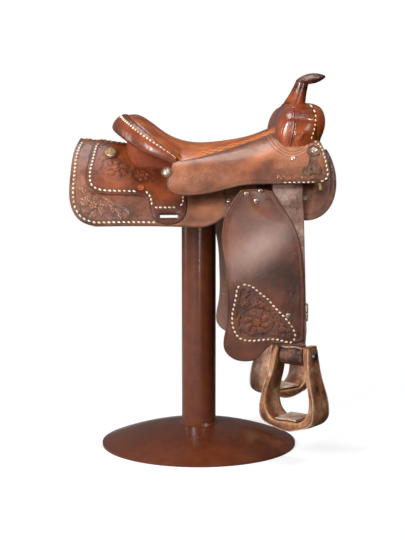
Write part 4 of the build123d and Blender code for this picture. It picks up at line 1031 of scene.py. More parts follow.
p, f, d = cut_sheet(dedupe(side_outline(FENDER_RUNS)), (), 5.0, (0.7, 1.6, 5.2, 6.0, 6.8, 8.2, 9.0, 9.8),
                    [fine_at(np.array([140.0, 366.0]), 100, 92, 2.0)])
*part, attr = sheet_solid(p, f, d, swing_place, 0.3, 4.3, fender_relief)
attr["tone"][len(p):] = 0.2
attr["edge"][len(p):] *= 0.3
# Painted highlight: a pale diagonal band of sheen across the fender's middle; the pale back is the flesh
# side.
along = ((p - (142, 545)) * (0.8, 0.6)).sum(axis=1) / 85
across = ((p - (142, 545)) * (-0.6, 0.8)).sum(axis=1) / 38
attr["bloom"] = np.concatenate([0.56 * np.exp(-along ** 2 - across ** 2), 0 * d + 0.35])
both("fender_panel", part, fender_leather, "hanging_", ("fender_",), attr)
patch_loop = np.concatenate([patch_line, patch_line[:1]])
stitches["hanging_"] += lozenges(patch_loop, swing_place, 4.5, 11.6, 7.4, 5.2, 1.3)
golden += lozenges(patch_loop, lambda p, lift: swing_place(p, 0.5 - lift), 0.2, 11.6, 7.4, 5.2, 1.0)

# Stirrup leather: the wing behind the fender's top, the loop over the bar, two leaves down to the roller
STRAP_WIDE = 74.0
AXIS = np.array([cos(TURN), sin(TURN), 0.0])
CROSS = np.array([-sin(TURN), cos(TURN), 0.0])
UP = np.array([0.0, 0.0, 1.0])
wing_sheet = cut_sheet(dedupe(side_outline(WING_RUNS)), (), 6.0, (0.7, 1.6, 2.5, 3.2, 3.9))
wing = sheet_solid(*wing_sheet, swing_place, -4.5, 0.0, plain_relief)[:2]


def strap_x(z):
    """The middle of the strap, which leans forward on its way down."""
    return SWING[0] + 13 * (SWING[1] - z) / 415


def strap_section(width, thickness=9.0, notch=0.9):
    """A closed section with rounded edges and a line between its two leaves."""
    r = min(1.6, thickness * 0.24)
    half, t = width / 2, thickness / 2
    pts = []
    for sx in (1, -1):
        for y in np.linspace(-1, 1, 9) * sx:
            edge = half - r * (1 - sqrt(max(0.0, 1 - max(0.0, (abs(y) - 0.6) / 0.4) ** 2)))
            pts.append((sx * (edge - notch * bell(y, 0, 0.12)), y * t))
        for k in np.linspace(0.9, -0.9, 6):
            pts.append((sx * k * half, sx * t))
    return pts


rows = []
for z in np.concatenate([np.linspace(692, 332, 46), np.linspace(326, 300, 7)]):
    centre = swing_place(np.array([[strap_x(z), z]]), -4.5)[0]
    rows.append((centre, 0.0, STRAP_WIDE if z > 332 else STRAP_WIDE - 7 * (332 - z) / 32))
for k in range(1, 8):
    share = k / 7
    rows.append((np.array([227 + 6 * share, 192.5 + 0.5 * share, 300 - 18 * share]),
                 TURN * smooth(0, 1, share), 67))
leaves = barrel([[c + w * np.array([cos(a), sin(a), 0.0]) + t * np.array([-sin(a), cos(a), 0.0])
                  for w, t in strap_section(width)] for c, a, width in rows], -1)
around = turns(28)[:, None]
both("roller_wrap", barrel([
    PIVOT + u * AXIS + r * (1.02 * np.cos(around) * CROSS + 1.32 * np.sin(around) * UP)
    for u, r in ((-33.5, 14), (-33.2, 17.5), (-32.0, 19.2), (-30, 19.8), (-20, 19.4), (0, 19.8), (20, 19.4),
                 (30, 19.8), (32.0, 19.2), (33.2, 17.5), (33.5, 14))]), wrap_leather, "hanging_")
tie = [PIVOT + (22 + 1.5 * sin(u * 0.12)) * UP + u * AXIS + 17.5 * CROSS for u in np.linspace(-33, 33, 24)]
both("wrap_tie", tube(tie, 2.0), tread_leather, "hanging_")
BAR_Y = 169.3
loop = []
for a in turns(40):
    ey, ez = signed(cos(a), 0.55), signed(sin(a), 0.4)
    outer, inner = [(BAR_Y + y * ey, SWING[1] + z * ez) for y, z in ((17.0, 30.5), (12.7, 26.2))]
    loop.append([(177, *outer), (251, *outer), (251, *inner), (177, *inner)])
whole = joined([wing, leaves, (np.reshape(loop, (-1, 3)), grid_faces(40, 4, close_u=True, close_v=True))])
tone = -0.55 * np.clip((340 - whole[0][:, 2]) / 60, 0, 1)
tone[:len(wing[0])] -= 0.5
both("stirrup_leather_strap", whole, strap_leather, "hanging_", ("stirrup_leather_",), {"tone": tone})
for shift in (-30.5, 30.5):
    line = np.array([[strap_x(z) + shift, z] for z in np.linspace(684, 340, 60)])
    golden += lozenges(line, swing_place, 0.1, 5.2, 3.4, 1.2, 0.5, 0.0)

# Stirrup: leather over a bent band, across the axis of its bolt
STIRRUP_FOOT = 80.0
STIRRUP_TOP = 297.0
NECK_HALF = 54.5
FLARE = 27.0
OUTER = [(0.0, 1.0), (0.1, 0.86), (0.42, 0.6), (0.86, 0.4), (1.0, 0.26), (0.8, 0.12)]


def stirrup_at(across, out, z):
    return np.array([*PIVOT[:2], 0.0]) + across * AXIS + out * CROSS + z * UP


def stirrup_line(band, rise):
    """Half of the band's outer or inner line, and its mirror, as evenly spaced points."""
    foot = STIRRUP_FOOT + rise
    pts = [(NECK_HALF + FLARE * a - band, foot + b * (STIRRUP_TOP - foot)) for a, b in OUTER]
    pts.append(((NECK_HALF + FLARE) * 0.45, foot + (0 if band else 0.04 * (STIRRUP_TOP - STIRRUP_FOOT))))
    pts.append((0.0, foot))
    path = spline(pts + [(-u, z) for u, z in reversed(pts[:-1])], 1.0)
    run = np.concatenate([[0.0], np.cumsum(np.linalg.norm(np.diff(path, axis=0), axis=1))])
    s = np.linspace(0, run[-1], 141)
    return np.stack([np.interp(s, run, path[:, k]) for k in (0, 1)], axis=1)


lines = [(o, i, 40.0 - 20.0 * np.clip(((o[1] + i[1]) / 2 - 140.8) / (317 - 140.8), 0, 1))
         for o, i in zip(stirrup_line(0.0, 0.0), stirrup_line(19.0, 30.0))]
ang = turns(48)
band_rings = []
for o, i, depth in lines:
    q = (o + i) / 2 + (o - i) / 2 * signed(np.cos(ang), 0.62)[:, None]
    band_rings.append([stirrup_at(u, depth * t, z) for (u, z), t in zip(q, signed(np.sin(ang), 0.34))])
worn_corner = bell(np.abs(np.sin(ang)), 0.8, 0.14)
seam_dark = bell(np.abs(np.sin(ang)), 0.97, 0.02) * (np.cos(ang) > 0)
both("stirrup_cover", barrel(band_rings), stirrup_skin, "stirrup_", ("stirrup_",),
     {"tone": np.tile(worn_corner * 0.6 - 0.1, len(lines)), "cav": np.tile(seam_dark * 0.6, len(lines))})
seam_lines = [(*(o * 0.86 + i * 0.14), depth * 0.985) for o, i, depth in lines[3:-3]]
seams = [tube([stirrup_at(u, sign * out, z) for u, z, out in seam_lines], 0.9, 6) for sign in (1, -1)]
both("stirrup_seam", joined(seams), tread_leather, "stirrup_")
rng = np.random.default_rng(3)
pad = []
for u in np.linspace(-31, 31, 15):
    torn = rng.uniform(-1.2, 1.2, 16)
    pad.append([stirrup_at(u + 0.5 * tear, 40.4 * signed(cos(a), 0.4) + tear,
                           112.8 + 2.6 * signed(sin(a), 0.5) + 0.5 * sin(u * 0.6 + k) + 0.4 * tear)
                for k, (a, tear) in enumerate(zip(turns(16), torn))])
both("tread_pad", barrel(pad), tread_leather, "stirrup_", ("stirrup_tread_cover_",))

# Seat
SEAT_LINE = [(-0.52, 1.37), (-0.485, 1.373), (-0.438, 1.355), (-0.382, 1.3), (-0.303, 1.2), (-0.226, 1.11),
             (-0.144, 1.05), (-0.012, 1.008), (0.115, 1.015), (0.253, 1.045), (0.382, 1.09),
             (0.465, 1.14), (0.57, 1.22)]
PAD_FOOT = (14.0, 5.0)  # how far the pad's underside lies below its top, in the middle and at its edge
seat_spots = np.array(spots(SEAT_LINE))


def seat_half(x):
    x = np.asarray(x, float)
    back = np.sqrt(np.clip(1 - ((SEAT_BACK - x) / BACK_DEEP) ** 2, 0.0, 1))
    return np.where(x >= SEAT_BACK, seam_half(x), SEAM_HALF * back)


def seat_top(x, share, drop=0.0, edge=0.0):
    x = np.asarray(x, float)
    middle = cubic(seat_spots[:, 0], seat_spots[:, 1:], x)[:, 0]
    side = np.where(x >= SEAT_BACK, seam_height(x), SEAM_Z + (SEAT_BACK - x) * BACK_SLOPE)
    return side - edge + (middle - side - drop + edge) * (1 - np.abs(share) ** 2.4)


xs = np.concatenate([SEAT_BACK - BACK_DEEP * np.cos(np.linspace(0.176, pi / 2, 60)),
                     np.arange(-46, 201, 2.6)])
gx, gs = np.meshgrid(xs, np.sin(np.linspace(-pi / 2, pi / 2, 151)), indexing="ij")
half = seat_half(xs)[:, None]
gy = gs * half
from_edge = half - np.abs(gy)
rim = np.hypot((np.minimum(gx, SEAT_BACK) - SEAT_BACK) / BACK_DEEP, gy / SEAM_HALF)
from_rim = np.where(gx < SEAT_BACK, (1 - rim) * 140, from_edge)
puff = 0.9 * np.sqrt(np.clip(from_rim / 9, 0, 1)) - 0.9
inlay = (0.9 * bell(from_rim, 12, 1.1) + 0.5 * bell(from_rim, 15, 1.0)) * (gx < -30)
strip = np.clip((from_edge - 5) / 3, 0, 1) * np.clip((40 - from_edge) / 3, 0, 1)
strip = strip * smooth(-20, 20, gx) * smooth(196, 180, gx)
stroke = np.abs(np.sin((gx * 0.8 + from_edge * 0.9) / 6.0 + 1.2 * np.sin(gx / 23.0))) ** 3
curl = np.abs(np.sin((gx - from_edge * 1.1) / 7.5 + 1.5 * np.sin(gx / 31.0)))
carved = strip * (0.8 * stroke + 0.35 * curl ** 4)
edge_line = 0.7 * (bell(from_edge, 4, 0.9) + bell(from_edge, 41, 0.9)) * smooth(-30, 10, gx)
welt = 0.8 * bell(from_edge, 1.2, 1.2) * (gx > SEAT_BACK)
creases = 0.35 * np.sin(gx / 11 + gy / 40) * bell(gx, -95, 45) * (np.abs(gs) < 0.8)
cav = np.clip(inlay * 0.8 + carved * 0.75 + edge_line + welt * 0.4, 0, 1)
shade = 0.8 * strip + 0.35 * bell(gx, 40, 70) * bell(gy, 0, 60) - 0.25 * bell(gx, -150, 30)
shade = shade - 0.3 * smooth(150, 195, gx) * (1 - strip)
top_z = seat_top(gx.ravel(), gs.ravel()) + (puff - inlay - carved - edge_line + creases * 0.5).ravel()
foot_z = seat_top(gx.ravel(), gs.ravel(), *PAD_FOOT)
verts = [np.stack([gx.ravel(), gy.ravel(), z], axis=1) for z in (top_z, foot_z)]
zero = np.zeros(gx.size)
seat = add_mesh("seat_cover", np.concatenate(verts), slab_faces(*gx.shape), seat_leather, "saddle",
                ("seat",), {"cav": np.append(cav, zero), "tone": np.append(shade, zero)})

# Cantle: the rolled rim, its stitches and the leather round the back
ROLL_WIDE = 26.5
ROLL_THICK = 14.0
ROLL_END = 84


def rim_point(a):
    deep = BACK_DEEP * cos(a)
    return np.array([SEAT_BACK - deep, SEAM_HALF * sin(a), SEAM_Z + deep * BACK_SLOPE])


def roll_point(a, phi, up=0.0, swell=1.0):
    """Points round the roll's section at the turn a about the seat's back."""
    side = abs(sin(a))
    size = (1 - 0.55 * side ** 8) * swell
    lean = radians(45 + 23 * side)
    way = np.array([-cos(a) * cos(lean), sin(a) * cos(lean), -sin(lean)])
    along = rim_point(a + 0.017) - rim_point(a - 0.017)
    normal = np.cross(along, way)
    normal /= np.linalg.norm(normal)
    centre = rim_point(a) + way * ROLL_WIDE * size / swell
    return (centre + (ROLL_WIDE * size + up) * np.cos(phi)[:, None] * way
            + (ROLL_THICK * size + up) * np.sin(phi)[:, None] * normal)


phi = turns(40)
rings = [roll_point(a, phi, 0.0, 1 + 0.012 * sin(k * 0.9) + 0.01 * sin(k * 2.3))
         for k, a in enumerate(np.radians(np.linspace(-ROLL_END, ROLL_END, 2 * ROLL_END + 1)))]


def end_caps(last, before, reach, angles):
    """Rings that round off an end."""
    centre = last.mean(axis=0)
    step = centre - before.mean(axis=0)
    step /= np.linalg.norm(step)
    return [centre + (last - centre) * cos(t) + step * reach * sin(t) for t in angles]


first, last = [end_caps(rings[a], rings[b], 3.2, (0.5, 1.0, 1.35)) for a, b in ((0, 1), (-1, -2))]
rings = first[::-1] + rings + last
nr = len(rings)
# Painted highlight: lit is a lighter band along the whole roll, beside its stitches.
lit = np.tile(0.35 * bell(phi, 1.9, 0.7), nr)
dark = np.tile(0.5 * bell(phi, pi, 0.2) + 0.8 * bell(phi, 2.42, 0.08), nr) * 0.8
dark += np.repeat(bell(np.linspace(-ROLL_END, ROLL_END, nr), 0, 34), 40) * 0.25
roll = add_mesh("cantle_rim", *barrel(rings), roll_leather, "saddle", ("cantle_roll",),
                {"tone": lit, "cav": dark})


def roll_place(p, lift):
    """p holds the run round the rim in millimetres and the turn about the roll's own line."""
    return np.concatenate([roll_point(s / 150.0, np.array([f / 18]), up)
                           for (s, f), up in zip(p, np.broadcast_to(lift, (len(p),)))])


run = np.linspace(0, 206, 200)
roll_line = np.stack([run, 0 * run + 2.08 * 18], axis=1)
stitches["saddle"] += lozenges(roll_line, roll_place, 0.1, 9.2, 6.2, 5.4, 1.2, 0.3)
plan = [(-62.9, 86.9), (-120, 86.9), (-150, 86.4), (-165, 80), (-173, 67), (-176.2, 45)]
plan = spline(plan + [(-176.3, 0)] + [(x, -y) for x, y in plan[::-1]], 4.0)
climb = np.linspace(0, 1, 14)
wall = []
for inset in (0.0, 3.4):
    for (x, y), (xf, yf) in zip(offset_path(plan, inset, False), offset_path(plan, inset - 9.0, False)):
        share = min(1.0, abs(y) / max(1.0, float(seat_half(x))))
        high = float(seat_top(np.array([x]), share, *PAD_FOOT)[0]) - 1
        low_z = drape(skirt_form, xf, abs(yf) / SKIRT_HALF, 0.0)[1] + 5.4
        flare = (1 - climb) ** 2.2
        line = (x + (xf - x) * flare, y + (yf - y) * flare, low_z + (high - low_z) * climb)
        wall.append(np.stack(line, axis=1))
# Painted shadow: the top of the wall, under the roll, is darkened.
under = np.tile(0.7 * smooth(0.55, 0.95, climb), len(wall))
add_mesh("cantle_back_skin", np.concatenate(wall), slab_faces(len(wall) // 2, len(climb)), cantle_leather,
         "saddle", ("cantle_back",), {"cav": under})

# Fork. Each row holds shares: y, rear x, front x, foot and top.
FORK_HALF = 160.0
FORK_ROWS = [(0.0, 0.57, 0.945, 0.8, 1.515), (0.35, 0.565, 0.94, 0.75, 1.5),
             (0.62, 0.553, 0.925, 0.72, 1.46), (0.82, 0.55, 0.895, 0.74, 1.42),
             (0.94, 0.58, 0.85, 0.84, 1.37), (1.0, 0.62, 0.8, 0.96, 1.3), (1.03, 0.68, 0.75, 1.08, 1.2)]
FORK_PROFILE = [(0, 0.49), (0.06, 0.79), (0.22, 0.975), (0.5, 1), (0.75, 0.99), (0.94, 0.91), (1, 0.76),
                (0.89, 0.44), (0.74, 0.13), (0.5, 0), (0.2, 0.06), (0.05, 0.22)]
ARCH_HALF = 66.0
ARCH_Z = 730.0
rows = np.array([(-r[0], *r[1:]) for r in FORK_ROWS[:0:-1]] + FORK_ROWS)
stations = FORK_HALF * np.concatenate([
    np.linspace(-1.03, -0.8, 16), np.linspace(-0.8, 0.8, 61)[1:-1], np.linspace(0.8, 1.03, 16)])
laps = np.array(FORK_PROFILE * 3 + FORK_PROFILE[:1], float)
lap_line = spline(laps, 0.004)
run = np.concatenate([[0.0], np.cumsum(np.linalg.norm(np.diff(laps, axis=0), axis=1))])
along = np.linspace(0, run[-1], len(lap_line))
s = np.linspace(run[len(FORK_PROFILE)], run[2 * len(FORK_PROFILE)], 180, endpoint=False)
u, w = [np.interp(s, along, lap_line[:, k]) for k in (0, 1)]
rings = []
for y, (rear, front, low, high) in zip(stations, cubic(rows[:, 0] * FORK_HALF, rows[:, 1:], stations)):
    (x0, z0), (x1, z1) = spots([(rear, low), (front, high)])
    rings.append(np.stack([x0 + u * (x1 - x0), np.full(len(s), y), z0 + w * (z1 - z0)], axis=1))
caps = [(cos(t), sin(t) * 2.2) for t in (0.3, 0.6, 0.9, 1.15, 1.35, 1.48, 1.54)]
low_caps, high_caps = [
    [ring.mean(axis=0) + (ring - ring.mean(axis=0)) * c + (0, side * out, 0) for c, out in caps]
    for ring, side in ((rings[0], -1), (rings[-1], 1))]
fork_v, fork_f = barrel(low_caps[::-1] + rings + high_caps)
x, y, z = fork_v.T
# Painted light: a rim highlight down the rear (206, 815), painted shade on the rear face and low on the
# swell.
fork_tone_and_painted_light = 0.35 * smooth(283, 289, x) + 0.25 * bell(z, 890, 8) * bell(x, 250, 60)
fork_tone_and_painted_light += 0.4 * bell(x, 206, 9) * bell(z, 815, 40) - 0.12 * (1 - smooth(190, 204, x))
fork_tone_and_painted_light -= 0.3 * bell(x, 262, 22) * bell(z, 800, 30)
fork = add_mesh("fork_skin", fork_v, fork_f, gloss_leather, "saddle", ("fork_cover", "fork_front"),
                {"tone": fork_tone_and_painted_light, "cav": np.clip(bell(x, 286, 1.6) * 1.2, 0, 1)})
arch = [(-ARCH_HALF * cos(a), ARCH_Z + ARCH_HALF * sin(a)) for a in np.linspace(0, pi, 40)]
arch = [(-ARCH_HALF, 560.0)] + arch + [(ARCH_HALF, 560.0)]
v, faces = barrel([[(x, y, z) for y, z in arch] for x in (100.0, 400.0)])
cutter = add_mesh("gullet_cutter", v, [face[::-1] for face in faces[:-2]] + faces[-2:], gloss_leather,
                  "saddle", smooth_faces=False)


def cut_by(obj, tool):
    mod = obj.modifiers.new("cut", "BOOLEAN")
    mod.operation = "DIFFERENCE"
    mod.solver = "EXACT"
    mod.object = tool
    mesh = bpy.data.meshes.new_from_object(obj.evaluated_get(bpy.context.evaluated_depsgraph_get()))
    obj.modifiers.remove(mod)
    old = obj.data
    obj.data = mesh
    bpy.data.meshes.remove(old)


cut_by(fork, cutter)
bpy.data.objects.remove(cutter)
fork_tree = BVHTree.FromPolygons([Vector(q) for q in fork_v.tolist()], [tuple(map(int, f)) for f in fork_f])


def fork_place(p, lift):
    """Side-view points cast on to the fork from the left."""
    out = []
    for (px, pz), up in zip(p, np.broadcast_to(lift, (len(p),))):
        hit = fork_tree.ray_cast(Vector((px, 400, pz)), Vector((0, -1, 0)))
        if hit[0] is None:
            hit = fork_tree.find_nearest(Vector((px, 120, pz)))
        normal = hit[1] if hit[1].y > 0 else -hit[1]
        out.append(np.array(hit[0]) + np.array(normal) * up)
    return np.array(out)


front_line = spline([(281, 893), (286, 880), (287, 866), (285.5, 855), (282, 834), (277.5, 819),
                     (274, 808)], 2.0)
stitches["saddle"] += lozenges(front_line, fork_place, 0.2, 11.0, 7.0, 4.6, 1.3)
ridge = fork_place(spline([(233, 884), (229.5, 850), (226, 820), (219, 786)], 2.5), 0.6)
welts = [tube(ridge, 3.2, 10, 0.7)]
for shift in (-5.5, 5.5):
    seam = spline([(233 + shift, 878), (229.5 + shift, 850), (226 + shift, 820), (220 + shift, 794)], 2.5)
    welts.append(tube(fork_place(seam, 0.0), 1.3, 8, 0.6))


# Horn
def subdivided(rows, shares):
    """Rows with more between each two, at these shares of the way."""
    rows = np.array(rows, float)
    return [a + (b - a) * t for a, b in zip(rows[:-1], rows[1:]) for t in shares] + [rows[-1]]


lean = radians(18)
neck_foot = np.array([246, 0, 884])
neck_way = np.array([sin(lean), 0, cos(lean)])
neck_u = np.array([cos(lean), 0, -sin(lean)])
a = turns(48)
NECK_ROWS = [(-8, 33), (-2, 31), (0, 29), (8, 27.2), (18, 24.2), (32, 21), (45, 18.8), (55, 17.4),
             (62, 16.8), (66, 16.6)]
neck = [neck_foot + s * neck_way + (r * (1 + 0.006 * np.sin(s * 0.3 + 2 * a)))[:, None]
        * (np.cos(a)[:, None] * neck_u + np.sin(a)[:, None] * (0, 1.0, 0))
        for s, r in NECK_ROWS]
neck = subdivided(neck, (0, 0.34, 0.67))
height = np.repeat((np.mean(neck, axis=1) - neck_foot) @ neck_way, 48)
wraps = bell(height - 5 * np.cos(np.tile(a, len(neck))), 52, 1.6) + 0.8 * bell(height, 3, 2.0)
add_mesh("horn_neck", *barrel(neck), gloss_leather, "saddle", ("horn_wrap",),
         {"cav": np.clip(wraps, 0, 1), "tone": 0.35 * bell(height, 20, 16)})


def turned(place, rows, sides=40, lobes=0, depth=0.0):
    """A turned form on a plane, from rows of radius and height; lobes scallop its edge."""
    o, u, w, n = place
    a = turns(sides)
    far = max(r for r, _ in rows)
    return barrel([o + (r * (1 + depth * (r / far) ** 4 * np.cos(lobes * a)))[:, None]
                   * (np.cos(a)[:, None] * u + np.sin(a)[:, None] * w) + h * n for r, h in rows])


tilt = radians(9)
cap_at = (np.array([288.0, 0, 955]), np.array([cos(tilt), 0, sin(tilt)]), np.array([0, 1.0, 0]),
          np.array([-sin(tilt), 0, cos(tilt)]))
CAP_ROWS = [(0.3, -13.0), (12, -12.6), (22, -10.0), (30, -6.6), (35, -3.9), (37.2, -2.4), (37.9, -1.0),
            (37.4, 0.0), (37.9, 1.0), (37.2, 2.5), (35, 4.1), (32.2, 5.6), (31.2, 5.4), (30.2, 6.3),
            (25, 8.9), (18, 11.3), (10, 13.0), (4, 13.6), (0.3, 13.7)]
cap_rows = np.array(subdivided(CAP_ROWS, (0.0, 0.5)))
radius, rise = np.repeat(cap_rows, 72, axis=0).T
cap_cav = bell(radius, 31.2, 0.8) * (rise > 2) + bell(rise, 0, 0.5) * (radius > 36)
# Painted shade: the cap's underside and the lower half of its rim are darkened.
cap_painted_shade = np.where((rise < 2) & (radius > 26), -0.15, 0.0)
add_mesh("horn_cap_skin", *turned(cap_at, cap_rows, 72), cap_leather, "saddle",
         ("horn_cap_top", "horn_cap_under"), {"cav": np.clip(cap_cav, 0, 1), "tone": cap_painted_shade})
add_mesh("fork_welts", *joined(welts + [mirrored_part(part) for part in welts]), gloss_leather, "saddle")


# Trim. A place is an origin with its directions across, up and out.
def spot_on(form, x, z, lift):
    ys, zs = drape(form, x, skirt_drape.steps, lift)
    share = np.interp(-z, -zs, skirt_drape.steps)

    def at(x, up):
        return np.array([float(value) for value in (x, *drape(form, x, share, up))])
    o = at(x, lift)
    n = at(x, lift + 1.0) - o
    n /= np.linalg.norm(n)
    u = at(x + 0.5, lift) - at(x - 0.5, lift)
    u -= n * np.dot(u, n)
    u /= np.linalg.norm(u)
    return o, u, np.cross(n, u), n


def moved(place, across=0.0, up=0.0, out=0.0):
    o, u, w, n = place
    return o + across * u + up * w + out * n, u, w, n


def pair(name, parts, material, nodes=(), attributes=None):
    """One piece on the saddle that holds the left parts and their mirror."""
    part = joined(parts)
    values = {key: np.tile(value, 2) for key, value in (attributes or {}).items()}
    add_mesh(name, *joined([part, mirrored_part(part)]), material, "saddle", nodes, values)


def bead(place, r, squash=0.8, sides=10):
    rows = [(r * 0.98, -0.3 * r)] + [(r * cos(t), r * squash * sin(t)) for t in (0.0, 0.45, 0.9, 1.3)]
    return turned(place, rows, sides)


def rosette(place, r, lobes=12, h=2.0):
    rows = [(r * 0.97, 0.0), (r, 0.3), (r, h * 0.55), (r * 0.95, h * 0.9), (r * 0.84, h),
            (r * 0.8, h * 0.72), (r * 0.76, h), (r * 0.5, h * 1.02), (0.3, h)]
    return turned(place, rows, 72, lobes, 0.05)


def silver_disc(place, r=8.5, h=2.5):
    rows = [(r, 0.0), (r, 0.7), (r * 0.95, 1.0), (r * 0.86, 0.8), (r * 0.82, 1.2), (r * 0.7, h * 0.72),
            (r * 0.62, h * 0.62), (r * 0.5, h * 0.9), (r * 0.25, h), (0.2, h)]
    parts = [turned(place, rows, 48, 16, 0.03)]
    beads = ((20, 0.9, 0.9, 0.75, 0.8, 8), (6, 0.42, h * 0.8, 1.2, 0.5, 8),
             (1, 0.0, h * 0.92, 1.4, 0.5, 12))
    for count, share, out, size, squash, sides in beads:
        for a in turns(count):
            spot = moved(place, r * share * cos(a), r * share * sin(a), out)
            parts.append(bead(spot, size, squash, sides))
    return parts


NAIL_ROWS = [(6.0, 0.0), (6.0, 0.5), (5.4, 1.2), (4.0, 1.7), (2.0, 1.95), (0.3, 2.0)]
RIVET_ROWS = [(6.0, 0.0), (6.0, 0.5), (5.3, 1.3), (3.6, 1.8), (1.6, 2.0), (0.3, 2.0)]
RIVET_CAP_ROWS = [(2.9, 0.0), (2.8, 0.4), (1.8, 0.7), (0.3, 0.8)]
BERRY_ROWS = [(14.6, 0.0), (14.8, 0.8), (14.2, 1.6), (11.5, 4.6), (8, 6.4), (4, 7.2), (0.3, 7.4)]
KNOT_ROWS = [(8.8, 0.0), (9.0, 0.8), (8.6, 1.7), (7.0, 2.4), (4.5, 2.3), (3.4, 1.7), (2.6, 2.2), (0.3, 2.4)]
rear_at = spot_on(jockey_form, -86.4, 732.0, 0.9)
front_at = spot_on(jockey_form, 278.8, 783.0, 3.6)
berry_at = spot_on(skirt_form, -226.1, 769.0, 5.1)
button_at = spot_on(skirt_form, -148.9, 689.0, 5.1)
string_at = spot_on(skirt_form, 298.2, 692.0, 0.3)
pair("rosettes", [rosette(rear_at, 13.0), rosette(front_at, 16.0), rosette(berry_at, 19.0, 14)],
     rough_leather, ("leather_rosettes",))
pair("silver_disc", silver_disc(moved(rear_at, out=2.1)) + silver_disc(moved(front_at, out=2.1)), silver,
     ("silver_conchos",))
berries = [turned(moved(berry_at, out=2.1), BERRY_ROWS)]
for across, up in hex_grid((-15, -15), (15, 15), 3.7):
    r = hypot(across, up)
    if r <= 13.6:
        out = 2.1 + 7.9 * sqrt(max(0.0, 1 - (r / 15.6) ** 2)) - 0.6
        berries.append(bead(moved(berry_at, across, up, out), 1.95, 0.9))
pair("berry_cluster", berries, brass, ("berry_conchos",))
knot = [turned(button_at, KNOT_ROWS, 40, 10, 0.06)]
for a in (0.6, 2.4):
    strand = spline([(-8 * cos(a), -8 * sin(a)), (0, 0), (8 * cos(a), 8 * sin(a))], 1.0)
    knot.append(tube([moved(button_at, across, up, 2.5)[0] for across, up in strand], 0.8))
pair("knot_button", knot, seat_leather, ("leather_buttons",))
nails = [turned(spot_on(*at), NAIL_ROWS, 28) for at in (
    (jockey_form, 226.1, 764.0, 0.9), (skirt_form, 70.0, 658.0, 5.1), (skirt_form, 259.1, 663.0, 0.3))]
pair("saddle_nail_heads", nails, silver, ("saddle_nails",))
rivets, rivet_caps = [], []
for x, z in spots([(0.326, 0.44), (0.429, 0.47), (0.397, 0.35), (0.635, -1.085)]):
    y = dished(hypot(x - SWING[0], z - SWING[1]) + 6) + 4.6
    at = (np.array([x, y, z]), np.array([1.0, 0, 0]), np.array([0, 0, -1.0]), np.array([0, 1.0, 0]))
    rivets.append(turned(at, RIVET_ROWS, 28))
    rivet_caps.append(turned(moved(at, out=1.8), RIVET_CAP_ROWS, 16))
both("rivet_heads", joined(rivets), silver, "hanging_", ("fender_rivets_",))
both("rivet_caps", joined(rivet_caps), copper, "hanging_")
pair("keeper", [keeper], rough_leather, ("leather_keepers",), {"cav": keeper_attr["cav"]})
string = []
for t in np.linspace(-13, 13, 20):
    c, across, _, out = moved(string_at, 0.6 * sin(t * 0.4), t, 1.0 + 0.15 * sin(t))
    string.append([c + 4.0 * signed(cos(b), 0.5) * across + 1.0 * sin(b) * out for b in turns(12)])
pair("front_string", [barrel(string)], gold_lace, ("saddle_strings",))

# Lacing along the ridge behind the cantle
laces = [], []
for k, x in enumerate(np.arange(-286, -178, 6.2)):
    lift = 1.3 if x < -250 else 6.2
    foot, ridge = skirt_drape.place(np.array([(x - 3.4, 9.0), (x, 0.6)]), lift)
    side = -1 if k % 2 else 1
    q = [(foot[0], side * foot[1], foot[2]), (x, 0.0, ridge[2] + 0.2), (x + 3.4, -side * foot[1], foot[2])]
    laces[k % 2].append(tube(spline(q, 1.2), 2.1, 8, 0.6))
add_mesh("ridge_lacing", *joined(laces[0]), gold_lace, "saddle")
add_mesh("ridge_lacing_dark", *joined(laces[1]), rough_leather, "saddle")
pair("buckstitches", stitches["saddle"], lace)
both("fender_buckstitches", joined(stitches["hanging_"]), lace, "hanging_")
both("leather_stitches", joined(golden), gold_lace, "hanging_")


# Floor, light and camera
def floor_paint():
    """A pale floor that keeps the object's shadow and turns white towards the horizon."""
    m, t, base, where = blank("floor_paint")
    base.inputs["Roughness"].default_value = 0.95
    base.inputs["Specular IOR Level"].default_value = 0.0
    far = node(t, "ShaderNodeVectorMath", operation="LENGTH")
    split = node(t, "ShaderNodeSeparateXYZ")
    t.links.new(where, far.inputs[0])
    t.links.new(where, split.inputs[0])
    fade = span(t, far.outputs["Value"], 0.5, 1.1, 0.0, 1.0)
    left = span(t, split.outputs["X"], -0.1, 0.5, 0.4, 0.02)
    ray = node(t, "ShaderNodeLightPath").outputs["Is Camera Ray"]
    pale = node(t, "ShaderNodeMix")
    fill_in(t, ((pale.inputs[0], ray), (pale.inputs[2], left), (pale.inputs[3], 0.5)))
    t.links.new(pale.outputs[0], base.inputs["Base Color"])
    near = node(t, "ShaderNodeAddShader")
    t.links.new(base.outputs[0], near.inputs[0])
    t.links.new(node(t, "ShaderNodeEmission", Strength=0.62).outputs[0], near.inputs[1])
    seen = blend_shaders(t, fade, near, node(t, "ShaderNodeEmission", Strength=1.0))
    last = blend_shaders(t, ray, base, seen)
    t.links.new(last.outputs[0], t.nodes["Material Output"].inputs["Surface"])
    return m


floor_mesh = bpy.data.meshes.new("floor")
floor_mesh.from_pydata([(-8, -8, 0), (8, -8, 0), (8, 8, 0), (-8, 8, 0)], [], [(0, 1, 2, 3)])
floor_mesh.materials.append(floor_paint())
floor = bpy.data.objects.new("floor", floor_mesh)
scene.collection.objects.link(floor)


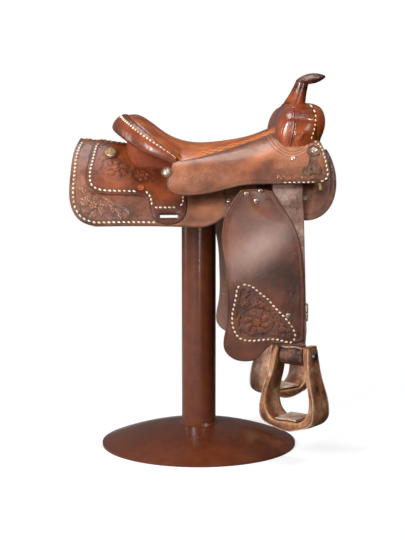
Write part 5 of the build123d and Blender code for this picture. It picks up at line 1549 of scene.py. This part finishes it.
def lamp(name, place, aim, size, power, turn=0):
    data = bpy.data.lights.new(name, "AREA")
    data.energy = power
    data.shape = "RECTANGLE"
    data.size, data.size_y = size
    obj = bpy.data.objects.new(name, data)
    obj.location = place
    facing = (Vector(aim) - Vector(place)).to_track_quat("-Z", "Y")
    obj.rotation_euler = (facing @ Quaternion((0, 0, 1), radians(turn))).to_euler()
    obj.visible_camera = False
    scene.collection.objects.link(obj)


lamp("key", (-2.2, -2.7, 1.9), (0, 0, 0.65), (0.8, 1.7), 128)
lamp("front", (-0.9, -3.3, 2.6), (0, 0, 0.6), (0.9, 0.9), 14)
lamp("low", (0.3, -2.6, 0.33), (0.15, 0, 0.55), (0.75, 0.1), 3.0, turn=43)
lamp("right", (1.75, -2.8, 1.5), (0.15, 0, 0.85), (0.6, 1.2), 17)
lamp("side", (-3.0, 0.6, 1.2), (0, 0, 0.55), (0.7, 2.0), 24)
lamp("rim", (1.4, -0.6, 3.1), (0.2, -0.1, 0.75), (0.6, 0.8), 34)
lamp("top", (-0.2, 0.5, 3.0), (0, 0, 0.6), (1.4, 1.4), 28)
world = bpy.data.worlds.new("studio")
scene.world = world
world.use_nodes = True
wt = world.node_tree
fill = wt.nodes["Background"]
fill.inputs["Color"].default_value = (1, 1, 1, 1)
sides = node(wt, "ShaderNodeSeparateXYZ")
wt.links.new(node(wt, "ShaderNodeTexCoord").outputs["Generated"], sides.inputs[0])
wt.links.new(span(wt, sides.outputs["X"], -0.7, 0.6, 0.22, 0.03), fill.inputs["Strength"])
white = node(wt, "ShaderNodeBackground", Color=(1, 1, 1, 1), Strength=1.0)
blend = blend_shaders(wt, node(wt, "ShaderNodeLightPath").outputs["Is Camera Ray"], fill, white)
wt.links.new(blend.outputs[0], wt.nodes["World Output"].inputs["Surface"])

camera_data = bpy.data.cameras.new("camera")
camera_data.lens = 108.59
camera_data.sensor_width = 36
camera = bpy.data.objects.new("camera", camera_data)
camera.location = (-0.15156, -4.19727, 1.05639)
camera.rotation_euler = (radians(81.925), 0, radians(-2.2))
scene.collection.objects.link(camera)
scene.camera = camera
scene.render.resolution_x = 1215
scene.render.resolution_y = 1620
scene.render.engine = "CYCLES"
